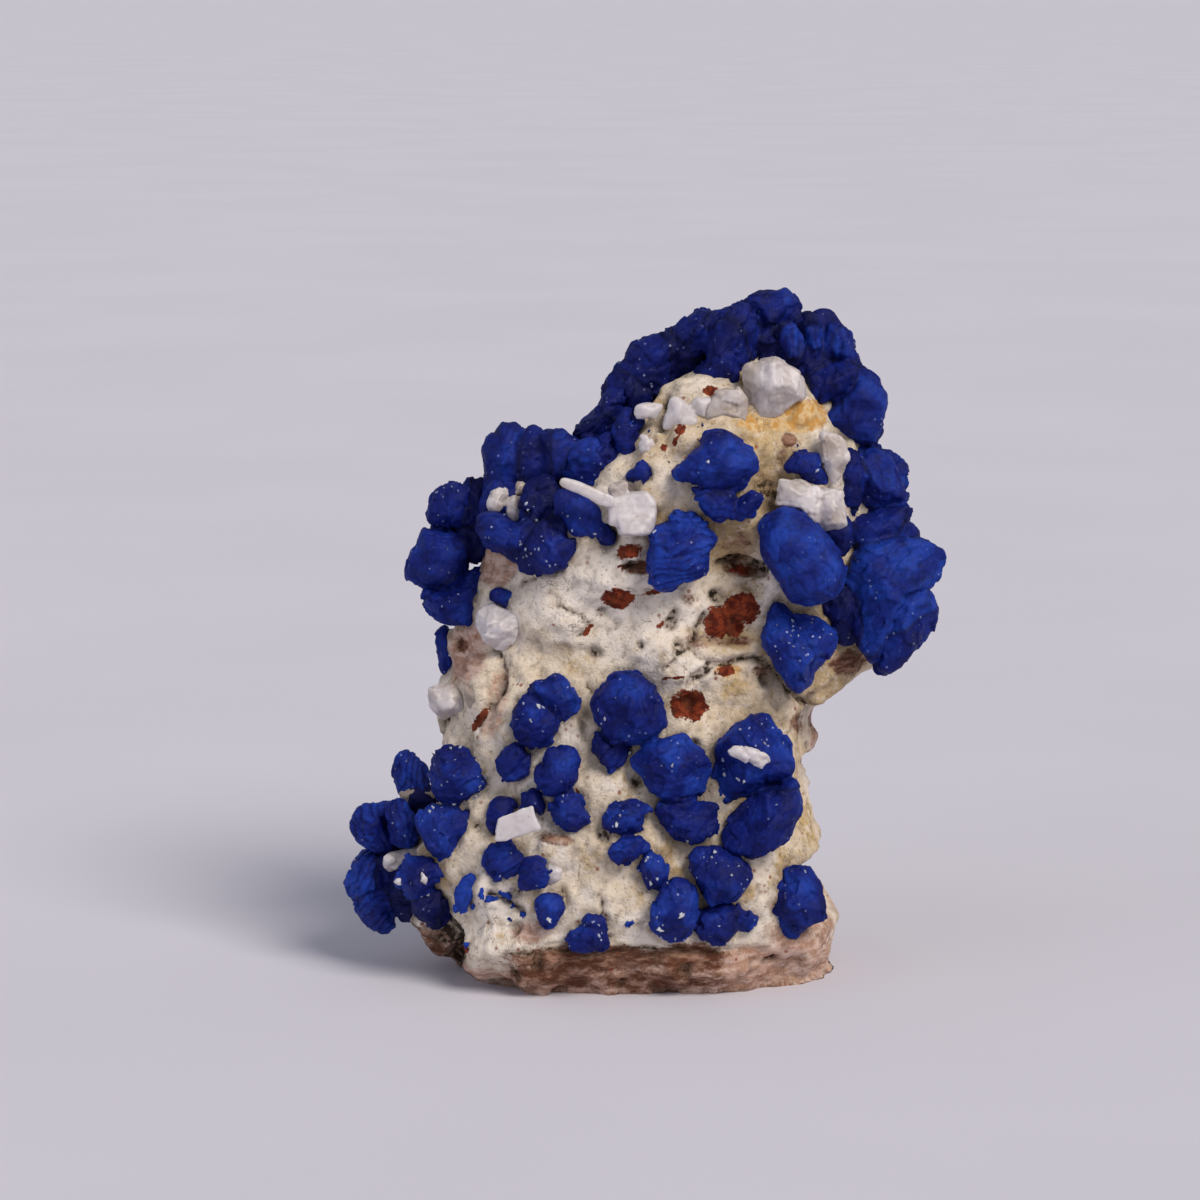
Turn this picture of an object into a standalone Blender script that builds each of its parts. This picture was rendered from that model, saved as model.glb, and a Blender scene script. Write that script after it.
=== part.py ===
"""An azurite specimen: an upright piece of pale host rock with rosettes of blue azurite and white calcite.

Units are metres and +Z is up. The front faces -Y. The origin is on the foot, in the plane that the
specimen stands on. Tables are in millimetres, and MM turns them into metres.
"""

import math
from typing import NamedTuple, Optional

import bmesh
import bpy
from mathutils import Euler, Matrix, Vector, noise
from mathutils.bvhtree import BVHTree

MM = 0.001
GAP = 0.3 * MM  # kept between two pieces that touch in the real specimen

# Host rock -------------------------------------------------------------------------------------

RING_POINTS = 38  # corners of one level section of the rock
LEVELS = 25
ROUNDNESS = 2.5  # power of the superellipse: 2 is an ellipse, and more is boxier
FAR_OFF = 0.1  # a ray starts this far in front of the specimen
NEARLY_FLAT = math.radians(6)  # faces that meet at less than this become one


class Section(NamedTuple):
    """One level section of the host rock, in millimetres."""

    z: float
    left: float
    right: float
    front: float
    back: float


SECTIONS = [
    Section(0.0, -11.6, 11.9, -8.2, 8.4),
    Section(1.6, -13.6, 12.9, -9.9, 9.4),
    Section(4.2, -16.2, 13.1, -10.6, 10.0),
    Section(8.0, -15.8, 12.2, -10.3, 10.2),
    Section(11.5, -14.4, 11.5, -9.6, 9.9),
    Section(15.0, -13.5, 11.5, -8.8, 9.4),
    Section(18.2, -13.1, 12.5, -7.8, 9.0),
    Section(21.5, -12.8, 15.4, -7.2, 8.8),
    Section(25.0, -12.4, 16.3, -7.0, 8.8),
    Section(28.5, -10.8, 16.3, -7.6, 8.6),
    Section(31.8, -8.4, 15.8, -8.3, 8.0),
    Section(35.0, -4.4, 15.2, -7.8, 7.2),
    Section(38.2, -0.7, 14.0, -6.2, 6.0),
    Section(40.4, 0.8, 12.4, -4.4, 4.6),
    Section(41.8, 3.4, 10.2, -2.4, 2.8),
]


class Dent(NamedTuple):
    """A hollow in the rock's front, or a swelling where the depth is negative, in millimetres."""

    x: float
    z: float
    radius: float
    depth: float


DENTS = [
    Dent(6.9, 28.2, 2.4, 2.2),
    Dent(-1.8, 29.2, 1.8, 1.5),
    Dent(5.4, 24.6, 3.0, 0.9),
    Dent(9.6, 34.0, 2.6, 0.8),
    Dent(-3.5, 25.5, 4.5, -0.9),
    Dent(3.5, 21.8, 3.6, -0.7),
    Dent(9.5, 20.0, 3.0, 0.9),
    Dent(2.5, 35.5, 3.6, -0.8),
    Dent(-9.5, 21.5, 3.0, 0.8),
    Dent(-2.0, 9.0, 4.0, -0.6),
    Dent(-12.8, 5.6, 2.8, 1.8),
    Dent(8.0, 9.5, 4.5, 0.5),
]


CHIPS = 18  # flat fracture faces on the sides, the back and the top
CHIP_DEPTHS = (0.7, 2.3)  # how far a fracture face cuts in, in millimetres
BEDDING = Vector((0.22, -0.10, 0.97)).normalized()  # across the rock's beds
BED = 5.2  # thickness of a bed in millimetres
GOLDEN_ANGLE = math.pi * (3 - math.sqrt(5))


def blend_sections(z):
    """The rock's section at height z, in millimetres, on a smooth curve through the table's rows."""
    last = len(SECTIONS) - 1
    above = next((i for i, row in enumerate(SECTIONS) if row.z >= z), last)
    above = max(above, 1)
    rows = [SECTIONS[min(max(i, 0), last)] for i in range(above - 2, above + 2)]
    share = (z - rows[1].z) / (rows[2].z - rows[1].z)
    values = []
    for before, low, high, after in zip(*rows):
        slope_low = (high - before) / 2
        slope_high = (after - low) / 2
        values.append(
            (2 * share**3 - 3 * share**2 + 1) * low
            + (share**3 - 2 * share**2 + share) * slope_low
            + (3 * share**2 - 2 * share**3) * high
            + (share**3 - share**2) * slope_high
        )
    return Section(*values)


def section_point(section, angle):
    """The point of a section's outline at an angle about its middle, in metres."""
    middle = Vector(((section.left + section.right) / 2, (section.front + section.back) / 2))
    half = Vector(((section.right - section.left) / 2, (section.back - section.front) / 2))
    cosine, sine = math.cos(angle), math.sin(angle)
    x = middle.x + half.x * math.copysign(abs(cosine) ** (2 / ROUNDNESS), cosine)
    y = middle.y + half.y * math.copysign(abs(sine) ** (2 / ROUNDNESS), sine)
    return Vector((x, y, section.z)) * MM


def dented(point):
    """The point moved along Y by the dents, which act on the front alone."""
    shift = 0.0
    for dent in DENTS:
        away = math.hypot(point.x / MM - dent.x, point.z / MM - dent.z) / dent.radius
        shift += dent.depth * max(0.0, 1 - away * away) ** 2
    front = min(1.0, max(0.0, -point.y / (4 * MM)))
    return point + Vector((0, shift * front * MM, 0))


def relief(point):
    """How far the rock's broken surface stands out at a point, in metres: lumps, pits and ledges."""
    coarse = noise.fractal(point / (7.5 * MM), 0.8, 2.1, 3)
    pits = abs(noise.noise(point / (3.2 * MM) + Vector((7, 3, 1))))
    bed = point.dot(BEDDING) / (BED * MM) + 0.9 * noise.noise(point / (11 * MM))
    ledge = bed - math.floor(bed)
    sides = min(1.0, max(0.0, (point.y + 5 * MM) / (4 * MM)))
    return (1.1 * coarse + 1.3 * (0.22 - pits) + (0.3 + 0.9 * sides) * (ledge - 0.5)) * MM


def fracture_planes(points):
    """Planes that cut a little off the rock's sides, back and top: each a direction and a reach."""
    planes = []
    for number in range(CHIPS):
        height = -0.55 + 1.45 * (number + 0.5) / CHIPS
        azimuth = number * GOLDEN_ANGLE
        flat = math.sqrt(1 - height * height)
        normal = Vector((math.cos(azimuth) * flat, abs(math.sin(azimuth)) * flat, height))
        share = number * 0.618 % 1
        depth = CHIP_DEPTHS[0] + (CHIP_DEPTHS[1] - CHIP_DEPTHS[0]) * share
        planes.append((normal, max(point.dot(normal) for point in points) - depth * MM))
    return planes


def chipped(point, planes):
    """The point moved back onto each fracture plane that it stands beyond."""
    for normal, reach in planes:
        beyond = point.dot(normal) - reach
        if beyond > 0:
            point = point - normal * beyond * 0.95
    return point


def host_rock_mesh():
    """The rock: bridged level sections, dented, roughened and chipped, with a flat foot and top."""
    bm = bmesh.new()
    top = SECTIONS[-1].z
    rings = []
    for level in range(LEVELS):
        section = blend_sections(top * level / (LEVELS - 1))
        turns = [math.tau * (i + 0.5 * (level % 2)) / RING_POINTS for i in range(RING_POINTS)]
        verts = [bm.verts.new(section_point(section, turn)) for turn in turns]
        edges = [bm.edges.new((verts[i - 1], verts[i])) for i in range(RING_POINTS)]
        rings.append(edges)
    for lower, upper in zip(rings, rings[1:]):
        bmesh.ops.bridge_loops(bm, edges=lower + upper)
    bmesh.ops.holes_fill(bm, edges=rings[0] + rings[-1])
    crown = [face for face in bm.faces if len(face.verts) == RING_POINTS and face.calc_center_median().z > 0]
    bmesh.ops.poke(bm, faces=crown)
    bmesh.ops.recalc_face_normals(bm, faces=bm.faces)
    bm.normal_update()
    foot = [v for v in bm.verts if v.co.z < 0.01 * MM]
    rough = {v: dented(v.co) + v.normal * relief(v.co) for v in bm.verts if v not in foot}
    planes = fracture_planes(list(rough.values()))
    moved = {v: chipped(place, planes) for v, place in rough.items()}
    for vert, place in moved.items():
        vert.co = place
    for vert in foot:
        vert.co.z = 0
    for vert in bm.verts:
        if vert not in foot:
            vert.co.z = max(vert.co.z, 0.5 * MM)
    bmesh.ops.triangulate(bm, faces=[f for f in bm.faces if len(f.verts) == 4])
    return bm


# Azurite ---------------------------------------------------------------------------------------


class Lobe(NamedTuple):
    """One rosette of azurite: half sizes as seen from the front, in millimetres.

    grain is the direction of its plates seen from the front, in degrees from level. plates is their
    number. y is the depth of its middle; without one it sits on the rock in front of (x, z).
    """

    x: float
    z: float
    wide: float
    high: float
    plates: int = 3
    grain: float = 0.0
    y: Optional[float] = None
    book: bool = False
    turn: float = 0.0


SEAT = 0.42  # the part of a rosette's half depth by which its middle stands off the rock
DEPTH_SHARE = 0.92  # a rosette's depth against its width and height
GROOVE = 0.9  # the radius of the groove between two plates against the smaller plate's

AZURITE = {
    "azurite_crown_left": [
        Lobe(-1.9, 37.9, 2.4, 2.3, 2, 45, -2.4),
        Lobe(-1.2, 37.2, 1.7, 2.4, 2, 80, -5.0),
        Lobe(-3.6, 34.9, 1.9, 1.6, 2, 0, -5.2),
    ],
    "azurite_arch": [
        Lobe(0.7, 40.9, 2.5, 2.2, 2, 40, -1.2),
        Lobe(3.5, 42.3, 2.6, 2.4, 2, 35, -0.8),
        Lobe(4.9, 41.1, 1.9, 1.9, 2, 60, -3.4),
        Lobe(8.7, 43.9, 3.0, 2.3, 2, 20, -1.2),
        Lobe(6.4, 42.6, 2.3, 2.2, 2, 85, -3.0),
        Lobe(10.3, 42.7, 1.6, 2.4, 2, 80, -4.0, True),
        Lobe(12.0, 42.3, 1.6, 2.3, 2, 95, -3.4, True),
        Lobe(13.2, 40.9, 1.5, 2.2, 2, 95, -2.4, True),
        Lobe(14.0, 38.8, 2.4, 2.6, 2, 15, -2.6),
        Lobe(15.4, 34.0, 2.5, 2.9, 3, -30, -3.0),
        Lobe(15.2, 31.0, 2.6, 2.0, 2, 5, -3.8),
        Lobe(16.8, 26.8, 3.4, 3.2, 3, 20, -5.0),
        Lobe(17.4, 23.8, 2.7, 2.9, 3, -60, -4.4),
        Lobe(18.5, 28.2, 1.7, 1.8, 2, 30, -3.4),
        Lobe(6.0, 42.8, 2.3, 2.0, 2, 30, 1.8),
        Lobe(12.4, 40.7, 2.1, 2.3, 2, -20, 1.0),
        Lobe(15.9, 33.0, 2.1, 2.5, 2, 20, 0.4),
        Lobe(16.6, 26.4, 2.2, 2.4, 2, 60, -0.6),
    ],
    "azurite_oval": [Lobe(10.7, 29.4, 2.9, 3.4, 3, -60, None, False, 25)],
    "azurite_glinting": [Lobe(10.5, 23.4, 2.6, 3.1, 3, -70)],
    "azurite_upper_lens": [
        Lobe(4.8, 35.8, 2.8, 2.1, 2, 10),
        Lobe(5.3, 33.4, 1.9, 1.2, 2, -10),
        Lobe(7.1, 33.3, 1.0, 1.1, 2, 45),
    ],
    "azurite_book": [Lobe(2.7, 30.0, 2.3, 2.7, 4, 8, None, True)],
    "azurite_upper_bead": [Lobe(-0.1, 34.7, 1.1, 1.1, 2, 60)],
    "azurite_upper_right_bead": [Lobe(10.6, 35.1, 1.3, 1.1, 2, 10)],
    "azurite_shoulder_top": [
        Lobe(-8.6, 34.4, 2.1, 2.7, 2, 70, -1.8),
        Lobe(-5.6, 34.4, 2.2, 2.2, 2, 20, -3.0),
    ],
    "azurite_shoulder": [
        Lobe(-8.0, 30.5, 3.1, 2.6, 3, 10),
        Lobe(-5.9, 29.0, 2.2, 1.9, 2, -20),
    ],
    "azurite_tilted_lens": [Lobe(-3.8, 31.8, 2.4, 1.7, 2, -40, -7.2, False, 40)],
    "azurite_left_lobes": [
        Lobe(-12.4, 31.5, 1.9, 2.0, 2, 75, -1.2),
        Lobe(-13.2, 28.1, 2.4, 2.5, 2, 60, -1.6),
        Lobe(-12.3, 25.4, 2.3, 2.0, 2, 20, -2.2),
        Lobe(-12.2, 29.4, 1.9, 2.1, 2, 30, 1.2),
    ],
    "azurite_left_sliver": [Lobe(-9.6, 25.8, 1.3, 0.9, 2, 0)],
    "azurite_left_edge": [Lobe(-13.2, 21.4, 1.0, 1.9, 2, 80, 0.0)],
    "azurite_twin": [
        Lobe(-5.1, 20.1, 1.5, 1.7, 2, 50),
        Lobe(-6.7, 18.5, 1.6, 1.7, 2, 30),
    ],
    "azurite_middle_chain": [
        Lobe(-0.8, 19.5, 2.5, 2.7, 2, 70),
        Lobe(-2.0, 16.7, 1.2, 1.4, 2, 20),
        Lobe(2.1, 15.6, 2.5, 2.3, 2, 10),
        Lobe(3.2, 12.4, 2.1, 1.7, 2, 15),
    ],
    "azurite_capped": [
        Lobe(7.4, 16.4, 2.7, 3.0, 3, -50),
        Lobe(8.1, 12.4, 2.6, 2.7, 3, 55),
    ],
    "azurite_lower_chain": [
        Lobe(-0.9, 12.3, 1.6, 1.3, 2, 20),
        Lobe(-0.8, 10.4, 1.4, 1.0, 2, 5),
        Lobe(0.9, 8.8, 1.1, 1.5, 2, 70),
        Lobe(2.1, 6.6, 1.8, 2.3, 2, 60),
        Lobe(5.0, 5.7, 1.5, 1.4, 2, 30),
        Lobe(6.7, 6.0, 0.9, 0.9, 2, 80),
    ],
    "azurite_lower_round": [
        Lobe(5.1, 8.8, 2.2, 2.1, 2, 80),
    ],
    "azurite_corner": [Lobe(10.0, 6.9, 2.2, 2.5, 2, -30)],
    "azurite_foot_twin": [
        Lobe(-3.0, 5.7, 1.0, 0.9, 2, 60),
        Lobe(-3.8, 4.8, 1.2, 1.0, 2, 0),
    ],
    "azurite_lower_bead": [Lobe(-5.8, 6.6, 1.1, 1.2, 2, 90)],
    "azurite_lower_pair": [
        Lobe(-8.9, 9.7, 1.6, 1.3, 2, 20),
        Lobe(-6.9, 8.9, 1.4, 1.3, 2, -20),
    ],
    "azurite_left_trio": [
        Lobe(-4.6, 12.8, 1.5, 1.6, 2, 20),
        Lobe(-5.3, 15.3, 1.5, 1.7, 2, 70),
    ],
    "azurite_small_bead": [Lobe(-7.0, 13.4, 1.0, 1.2, 2, 80)],
    "azurite_left_bead": [Lobe(-8.3, 15.8, 1.3, 1.3, 2, 45)],
    "azurite_plate_bead": [Lobe(-9.4, 13.0, 1.1, 1.3, 2, 60)],
    "azurite_small_fan": [Lobe(-15.2, 13.5, 1.2, 1.7, 2, 70, -1.0)],
    "azurite_ledge_pair": [
        Lobe(-11.9, 13.9, 2.2, 2.2, 2, 10, -6.0),
        Lobe(-12.8, 10.1, 2.2, 2.4, 2, 80, -6.2),
    ],
    "azurite_ledge_fan": [
        Lobe(-17.0, 10.0, 2.3, 2.0, 2, -52, -2.0),
        Lobe(-15.5, 9.9, 1.4, 1.9, 2, -70, -3.6),
    ],
    "azurite_ledge_folds": [
        Lobe(-18.0, 6.1, 2.0, 2.2, 2, 60, -1.4),
        Lobe(-17.0, 4.4, 1.8, 1.6, 2, 50, -2.0),
    ],
    "azurite_ledge_front": [
        Lobe(-14.6, 7.1, 1.9, 1.7, 2, 15, -6.2),
        Lobe(-13.9, 4.6, 1.5, 1.8, 2, 40, -6.0),
    ],
    "azurite_chip": [Lobe(-11.3, 7.5, 0.8, 1.3, 2, 70)],
}

# White crystals --------------------------------------------------------------------------------


class Block(NamedTuple):
    """One white crystal: full sizes in millimetres, then turns about X, Y and Z in degrees.

    Without a y it stands on the rock in front of (x, z). trim is how much of each corner is missing.
    """

    x: float
    z: float
    size: tuple
    turns: tuple
    y: Optional[float] = None
    lean: float = 0.25
    trim: float = 0.25


CALCITE = {
    "calcite_crown_lump": [
        Block(8.7, 39.7, (3.8, 3.0, 3.7), (10, 20, 5), -5.4, 0.1, 0.62),
        Block(5.9, 38.7, (2.6, 2.2, 2.4), (0, -15, 20), -6.2, 0.1, 0.6),
    ],
    "calcite_rhomb": [Block(2.7, 38.4, (1.8, 1.5, 1.7), (15, 38, 10), -6.3, 0.3, 0.1)],
    "calcite_crown_flake": [Block(0.7, 38.5, (1.8, 0.9, 0.9), (5, 8, 0), -6.0, 0.2, 0.3)],
    "calcite_knobs": [Block(0.6, 36.2, (1.1, 1.1, 1.8), (0, 12, 0), None, 0.1, 0.5)],
    "calcite_rod_block": [
        Block(-0.5, 32.5, (2.6, 2.4, 2.7), (10, 12, 15), -8.6, 0.2, 0.25),
        Block(-3.2, 33.3, (5.2, 0.5, 0.55), (0, 20, 3), -9.4, 0.0, 0.1),
    ],
    "calcite_right_leaf": [Block(12.6, 35.5, (1.7, 1.4, 3.2), (0, -18, 10), -6.8, 0.1, 0.6)],
    "calcite_right_lump": [
        Block(10.2, 33.1, (3.0, 2.6, 2.0), (0, 15, 0), None, 0.1, 0.6),
        Block(12.0, 32.6, (2.8, 2.8, 3.2), (0, -20, 10), -6.8, 0.1, 0.6),
    ],
    "calcite_left_lump": [Block(-9.4, 23.8, (2.9, 2.4, 2.9), (20, 30, 10), None, 0.1, 0.6)],
    "calcite_plate": [Block(-8.1, 12.0, (2.6, 0.7, 1.8), (-8, -14, 8), -10.9, 0.4, 0.05)],
    "calcite_edge_lump": [Block(-13.1, 18.0, (2.5, 2.2, 2.6), (0, 20, 20), -1.2, 0.1, 0.6)],
    "calcite_pink_block": [Block(-10.4, 18.9, (2.0, 1.6, 3.0), (0, 14, 25), None, 0.15, 0.4)],
    "calcite_low_chip": [Block(-4.7, 8.3, (1.0, 1.2, 1.6), (0, 25, 0), None, 0.2, 0.0)],
}


def new_object(name, bm, material, smooth_angle=None):
    """An object made of a bmesh, which is freed."""
    mesh = bpy.data.meshes.new(name)
    bm.to_mesh(mesh)
    bm.free()
    mesh.materials.append(material)
    if smooth_angle is not None:
        mesh.shade_smooth()
        mesh.set_sharp_from_angle(angle=math.radians(smooth_angle))
    obj = bpy.data.objects.new(name, mesh)
    bpy.context.scene.collection.objects.link(obj)
    return obj


def hide_cutter(obj):
    """Marks an object as a helper, which is no part of the specimen."""
    obj.hide_render = True
    obj.display_type = "WIRE"


def carve(obj, cutters):
    """Takes the cutters' space away from an object, and joins its own overlapping shells.

    Crumbs that the cut leaves apart from the largest body are removed.
    """
    for cutter in cutters:
        modifier = obj.modifiers.new("cut_by_" + cutter.name, "BOOLEAN")
        modifier.operation = "DIFFERENCE"
        modifier.solver = "EXACT"
        modifier.use_self = True
        modifier.object = cutter
    bpy.context.view_layer.update()
    whole = obj.evaluated_get(bpy.context.evaluated_depsgraph_get())
    bm = bmesh.new()
    bm.from_mesh(whole.to_mesh())
    whole.to_mesh_clear()
    obj.modifiers.clear()
    bodies = loose_bodies(bm)
    crumbs = [vert for body in bodies if body is not max(bodies, key=len) for vert in body]
    bmesh.ops.delete(bm, geom=crumbs, context="VERTS")
    bmesh.ops.dissolve_limit(bm, angle_limit=NEARLY_FLAT, verts=bm.verts, edges=bm.edges)
    bmesh.ops.triangulate(bm, faces=bm.faces)
    bm.to_mesh(obj.data)
    bm.free()


def loose_bodies(bm):
    """The bmesh's vertices, as one list for each connected body."""
    left = set(bm.verts)
    bodies = []
    while left:
        stack = [left.pop()]
        body = []
        while stack:
            vert = stack.pop()
            body.append(vert)
            for edge in vert.link_edges:
                other = edge.other_vert(vert)
                if other in left:
                    left.discard(other)
                    stack.append(other)
        bodies.append(body)
    return bodies


def plain_material(name, colour, roughness):
    """A plain Principled material of one colour."""
    material = bpy.data.materials.new(name)
    material.use_nodes = True
    shader = material.node_tree.nodes["Principled BSDF"]
    shader.inputs["Base Color"].default_value = (*colour, 1)
    shader.inputs["Roughness"].default_value = roughness
    material.diffuse_color = (*colour, 1)
    return material


def plate_profile(lobe, seed):
    """Rings of a stack of plates: offset along the stack's axis and radius, in a rosette of unit size."""
    ends = 0.97
    rings = [(-ends, 0.52)]
    edge = 0.2 / lobe.plates if lobe.book else 0.0
    for i in range(lobe.plates):
        middle = -0.62 + 1.24 * i / (lobe.plates - 1)
        radius = math.sqrt(1 - middle * middle * 0.8) * (1.0 + 0.05 * math.sin(seed + 2.4 * i))
        if i:
            groove = middle - 0.62 / (lobe.plates - 1)
            rings.append((groove, GROOVE * min(radius, before)))
        before = radius
        rings += [(middle - edge, radius), (middle + edge, radius)] if edge else [(middle, radius)]
    return rings + [(ends, 0.52)]


def add_lobe(bm, lobe, centre, swell=0.0):
    """Adds a rosette: a stack of plates with grooves between them, squeezed to the rosette's size."""
    half = Vector((lobe.wide, min(lobe.wide, lobe.high) * DEPTH_SHARE, lobe.high)) * MM
    sizes = half + Vector((swell, swell, swell))
    turn = Matrix.Rotation(math.radians(-lobe.turn), 4, "Y")
    placing = Matrix.Translation(centre) @ turn @ Matrix.Diagonal((*sizes, 1))
    grain = math.radians(lobe.grain - lobe.turn)
    axis = Vector((-math.sin(grain), -0.22, math.cos(grain))).normalized()
    facing = axis.to_track_quat("Z", "Y").to_matrix()
    seed = lobe.x * 3.1 + lobe.z * 1.7
    area = lobe.wide * lobe.high
    sides = 6 if area > 3.5 else 5
    lean_most = 0.0 if lobe.book else 0.07
    rings = []
    for number, (offset, radius) in enumerate(plate_profile(lobe, seed)):
        lean = Euler((lean_most * math.sin(seed + 1.9 * number), lean_most * math.cos(seed + 2.3 * number), 0))
        verts = []
        for side in range(sides):
            angle = math.tau * side / sides + 0.16 * math.sin(seed * 3 + 2.1 * side) + 0.12 * (number % 2)
            reach = radius * (1.05 + 0.07 * math.sin(seed + 5 * side + 0.5 * number))
            corner = Vector((math.cos(angle), math.sin(angle), 0)) * reach
            corner.rotate(lean)
            place = facing @ (corner + Vector((0, 0, offset)))
            verts.append(bm.verts.new(placing @ place))
        rings.append([bm.edges.new((verts[i - 1], verts[i])) for i in range(sides)])
    made = []
    for lower, upper in zip(rings, rings[1:]):
        made += bmesh.ops.bridge_loops(bm, edges=lower + upper)["faces"]
    made += bmesh.ops.holes_fill(bm, edges=rings[0] + rings[-1])["faces"]
    made = bmesh.ops.triangulate(bm, faces=made)["faces"]
    bmesh.ops.recalc_face_normals(bm, faces=made)


def add_block(bm, block, centre, swell=0.0):
    """Adds a white crystal: a leaning box with its corners trimmed off, as the hull of its points."""
    half = [size * MM / 2 + swell for size in block.size]
    turns = Euler([math.radians(angle) for angle in block.turns])
    placing = Matrix.Translation(centre) @ turns.to_matrix().to_4x4()
    points = []
    for sx in (-1, 1):
        for sy in (-1, 1):
            for sz in (-1, 1):
                for keep in range(3) if block.trim > 0.2 else (None,):
                    share = [1 - block.trim * (axis != keep) * 0.8 for axis in range(3)]
                    if keep is None:
                        share = [1, 1, 1]
                    place = Vector([s * h * k for s, h, k in zip((sx, sy, sz), half, share)])
                    place.x += block.lean * place.z
                    points.append(bm.verts.new(placing @ place))
    bmesh.ops.convex_hull(bm, input=points)


def front_of_rock(x, z, rock_surface):
    """The point of the rock's front surface straight behind (x, z), in metres."""
    start = Vector((x * MM, -FAR_OFF, z * MM))
    return rock_surface.ray_cast(start, Vector((0, 1, 0)))[0]


def seat(piece, depth, rock_surface):
    """The middle of a piece: as given, or standing off the rock's front by its share of the depth."""
    if piece.y is not None:
        return Vector((piece.x, piece.y, piece.z)) * MM
    return front_of_rock(piece.x, piece.z, rock_surface) - Vector((0, SEAT * depth * MM, 0))


def near(box_a, box_b):
    """Whether two boxes, each a low and a high corner, come within a gap of each other."""
    return all(box_a[0][i] - GAP < box_b[1][i] and box_b[0][i] - GAP < box_a[1][i] for i in range(3))


def box_of(obj):
    """The low and high corner of an object's own mesh."""
    corners = [vert.co for vert in obj.data.vertices]
    low = Vector([min(c[i] for c in corners) for i in range(3)])
    high = Vector([max(c[i] for c in corners) for i in range(3)])
    return low, high


def grown_copy(rock, material):
    """The rock swollen by a gap, as the cutter for everything that sits on it."""
    bm = bmesh.new()
    bm.from_mesh(rock.data)
    bm.normal_update()
    moved = {vert: vert.co + vert.normal * GAP for vert in bm.verts}
    for vert, place in moved.items():
        vert.co = place
    grown = new_object("grown_host_rock", bm, material)
    hide_cutter(grown)
    return grown


def grow_crystals(table, add_piece, depth_of, rock_surface, grown_rock, neighbours, material):
    """Makes a node of each row, cut clear of the rock and of the nodes made before it."""
    for name, pieces in table.items():
        solid, cutter = bmesh.new(), bmesh.new()
        for piece in pieces:
            centre = seat(piece, depth_of(piece), rock_surface)
            add_piece(solid, piece, centre)
            add_piece(cutter, piece, centre, swell=GAP)
        crystal = new_object(name, solid, material)
        box = box_of(crystal)
        carve(crystal, [grown_rock] + [other for other, space in neighbours if near(box, space)])
        grown = new_object("grown_" + name, cutter, material)
        hide_cutter(grown)
        neighbours.append((grown, box_of(grown)))


def lobe_depth(lobe):
    """Half of a rosette's depth, in millimetres."""
    return min(lobe.wide, lobe.high) * DEPTH_SHARE


def block_depth(block):
    """Half of a white crystal's depth, in millimetres."""
    return block.size[1] / 2


def main():
    for obj in list(bpy.data.objects):
        bpy.data.objects.remove(obj)
    rock_finish = plain_material("host_rock", (0.62, 0.52, 0.38), 0.9)
    blue = plain_material("azurite", (0.012, 0.03, 0.28), 0.4)
    white = plain_material("calcite", (0.78, 0.76, 0.72), 0.45)

    bm = host_rock_mesh()
    rock_surface = BVHTree.FromBMesh(bm)
    rock = new_object("host_rock", bm, rock_finish)
    grown_rock = grown_copy(rock, rock_finish)
    neighbours = []
    grow_crystals(AZURITE, add_lobe, lobe_depth, rock_surface, grown_rock, neighbours, blue)
    grow_crystals(CALCITE, add_block, block_depth, rock_surface, grown_rock, neighbours, white)


main()
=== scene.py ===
"""The azurite specimen, dressed: broken host rock, velvety blue rosettes and milky white calcite.

Tables and meshes are worked out in millimetres and brought to metres when a piece is finished. +Z is up
and the front faces -Y.
"""

import logging
import math
from dataclasses import dataclass
from enum import Enum
from typing import Iterable, Optional, Union

import bmesh
import bpy
from mathutils import Euler, Matrix, Vector, noise
from mathutils.bvhtree import BVHTree


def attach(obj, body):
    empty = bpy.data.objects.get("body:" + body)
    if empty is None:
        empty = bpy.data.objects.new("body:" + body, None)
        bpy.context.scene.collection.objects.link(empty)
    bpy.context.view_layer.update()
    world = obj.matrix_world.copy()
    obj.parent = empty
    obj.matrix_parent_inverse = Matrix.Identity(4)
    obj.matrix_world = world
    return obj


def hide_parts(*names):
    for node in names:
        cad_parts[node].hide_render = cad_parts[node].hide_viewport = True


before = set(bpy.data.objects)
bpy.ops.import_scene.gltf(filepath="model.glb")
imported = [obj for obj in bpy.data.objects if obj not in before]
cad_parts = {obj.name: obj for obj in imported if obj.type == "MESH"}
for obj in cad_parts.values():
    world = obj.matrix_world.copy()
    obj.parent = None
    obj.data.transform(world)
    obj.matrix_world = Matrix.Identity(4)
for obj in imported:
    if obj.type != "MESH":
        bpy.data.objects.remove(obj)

LOG = logging.getLogger("azurite_specimen")
MM = 0.001
FAR_OFF = 100.0  # a ray starts this far in front of the specimen
ROCK_VOXEL = 0.235  # mesh spacing on the rock
CRYSTAL_VOXEL = 0.106  # mesh spacing on the crystals, a little under half a plate
FACE_BUDGET = 92000  # four-sided faces that one crystal piece may have
STEPS = 120  # directions in which a rosette's edge is kept
FACE_Y = -9.0  # the plane in which the rock's features are placed
TARGET = Vector((-2.6, -8.0, 26.3))  # what the camera looks at
AWAY = 260.6  # how far the camera stands from it
ELEVATION = math.radians(9.0)
EYE = TARGET + Vector((0, -math.cos(ELEVATION), math.sin(ELEVATION))) * AWAY
UP_TO_MM = (1 / MM,) * 3

Socket = bpy.types.NodeSocket
Value = Union[Socket, float]
Colour = Union[Socket, str]


# Small tools -----------------------------------------------------------------------------------

def linear(colour: str) -> tuple[float, float, float, float]:
    """An sRGB hex colour such as "#0c1a6e" as linear red, green, blue and alpha."""
    parts = [int(colour[i : i + 2], 16) / 255 for i in (1, 3, 5)]
    return (*[c / 12.92 if c <= 0.04045 else ((c + 0.055) / 1.055) ** 2.4 for c in parts], 1.0)


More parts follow.
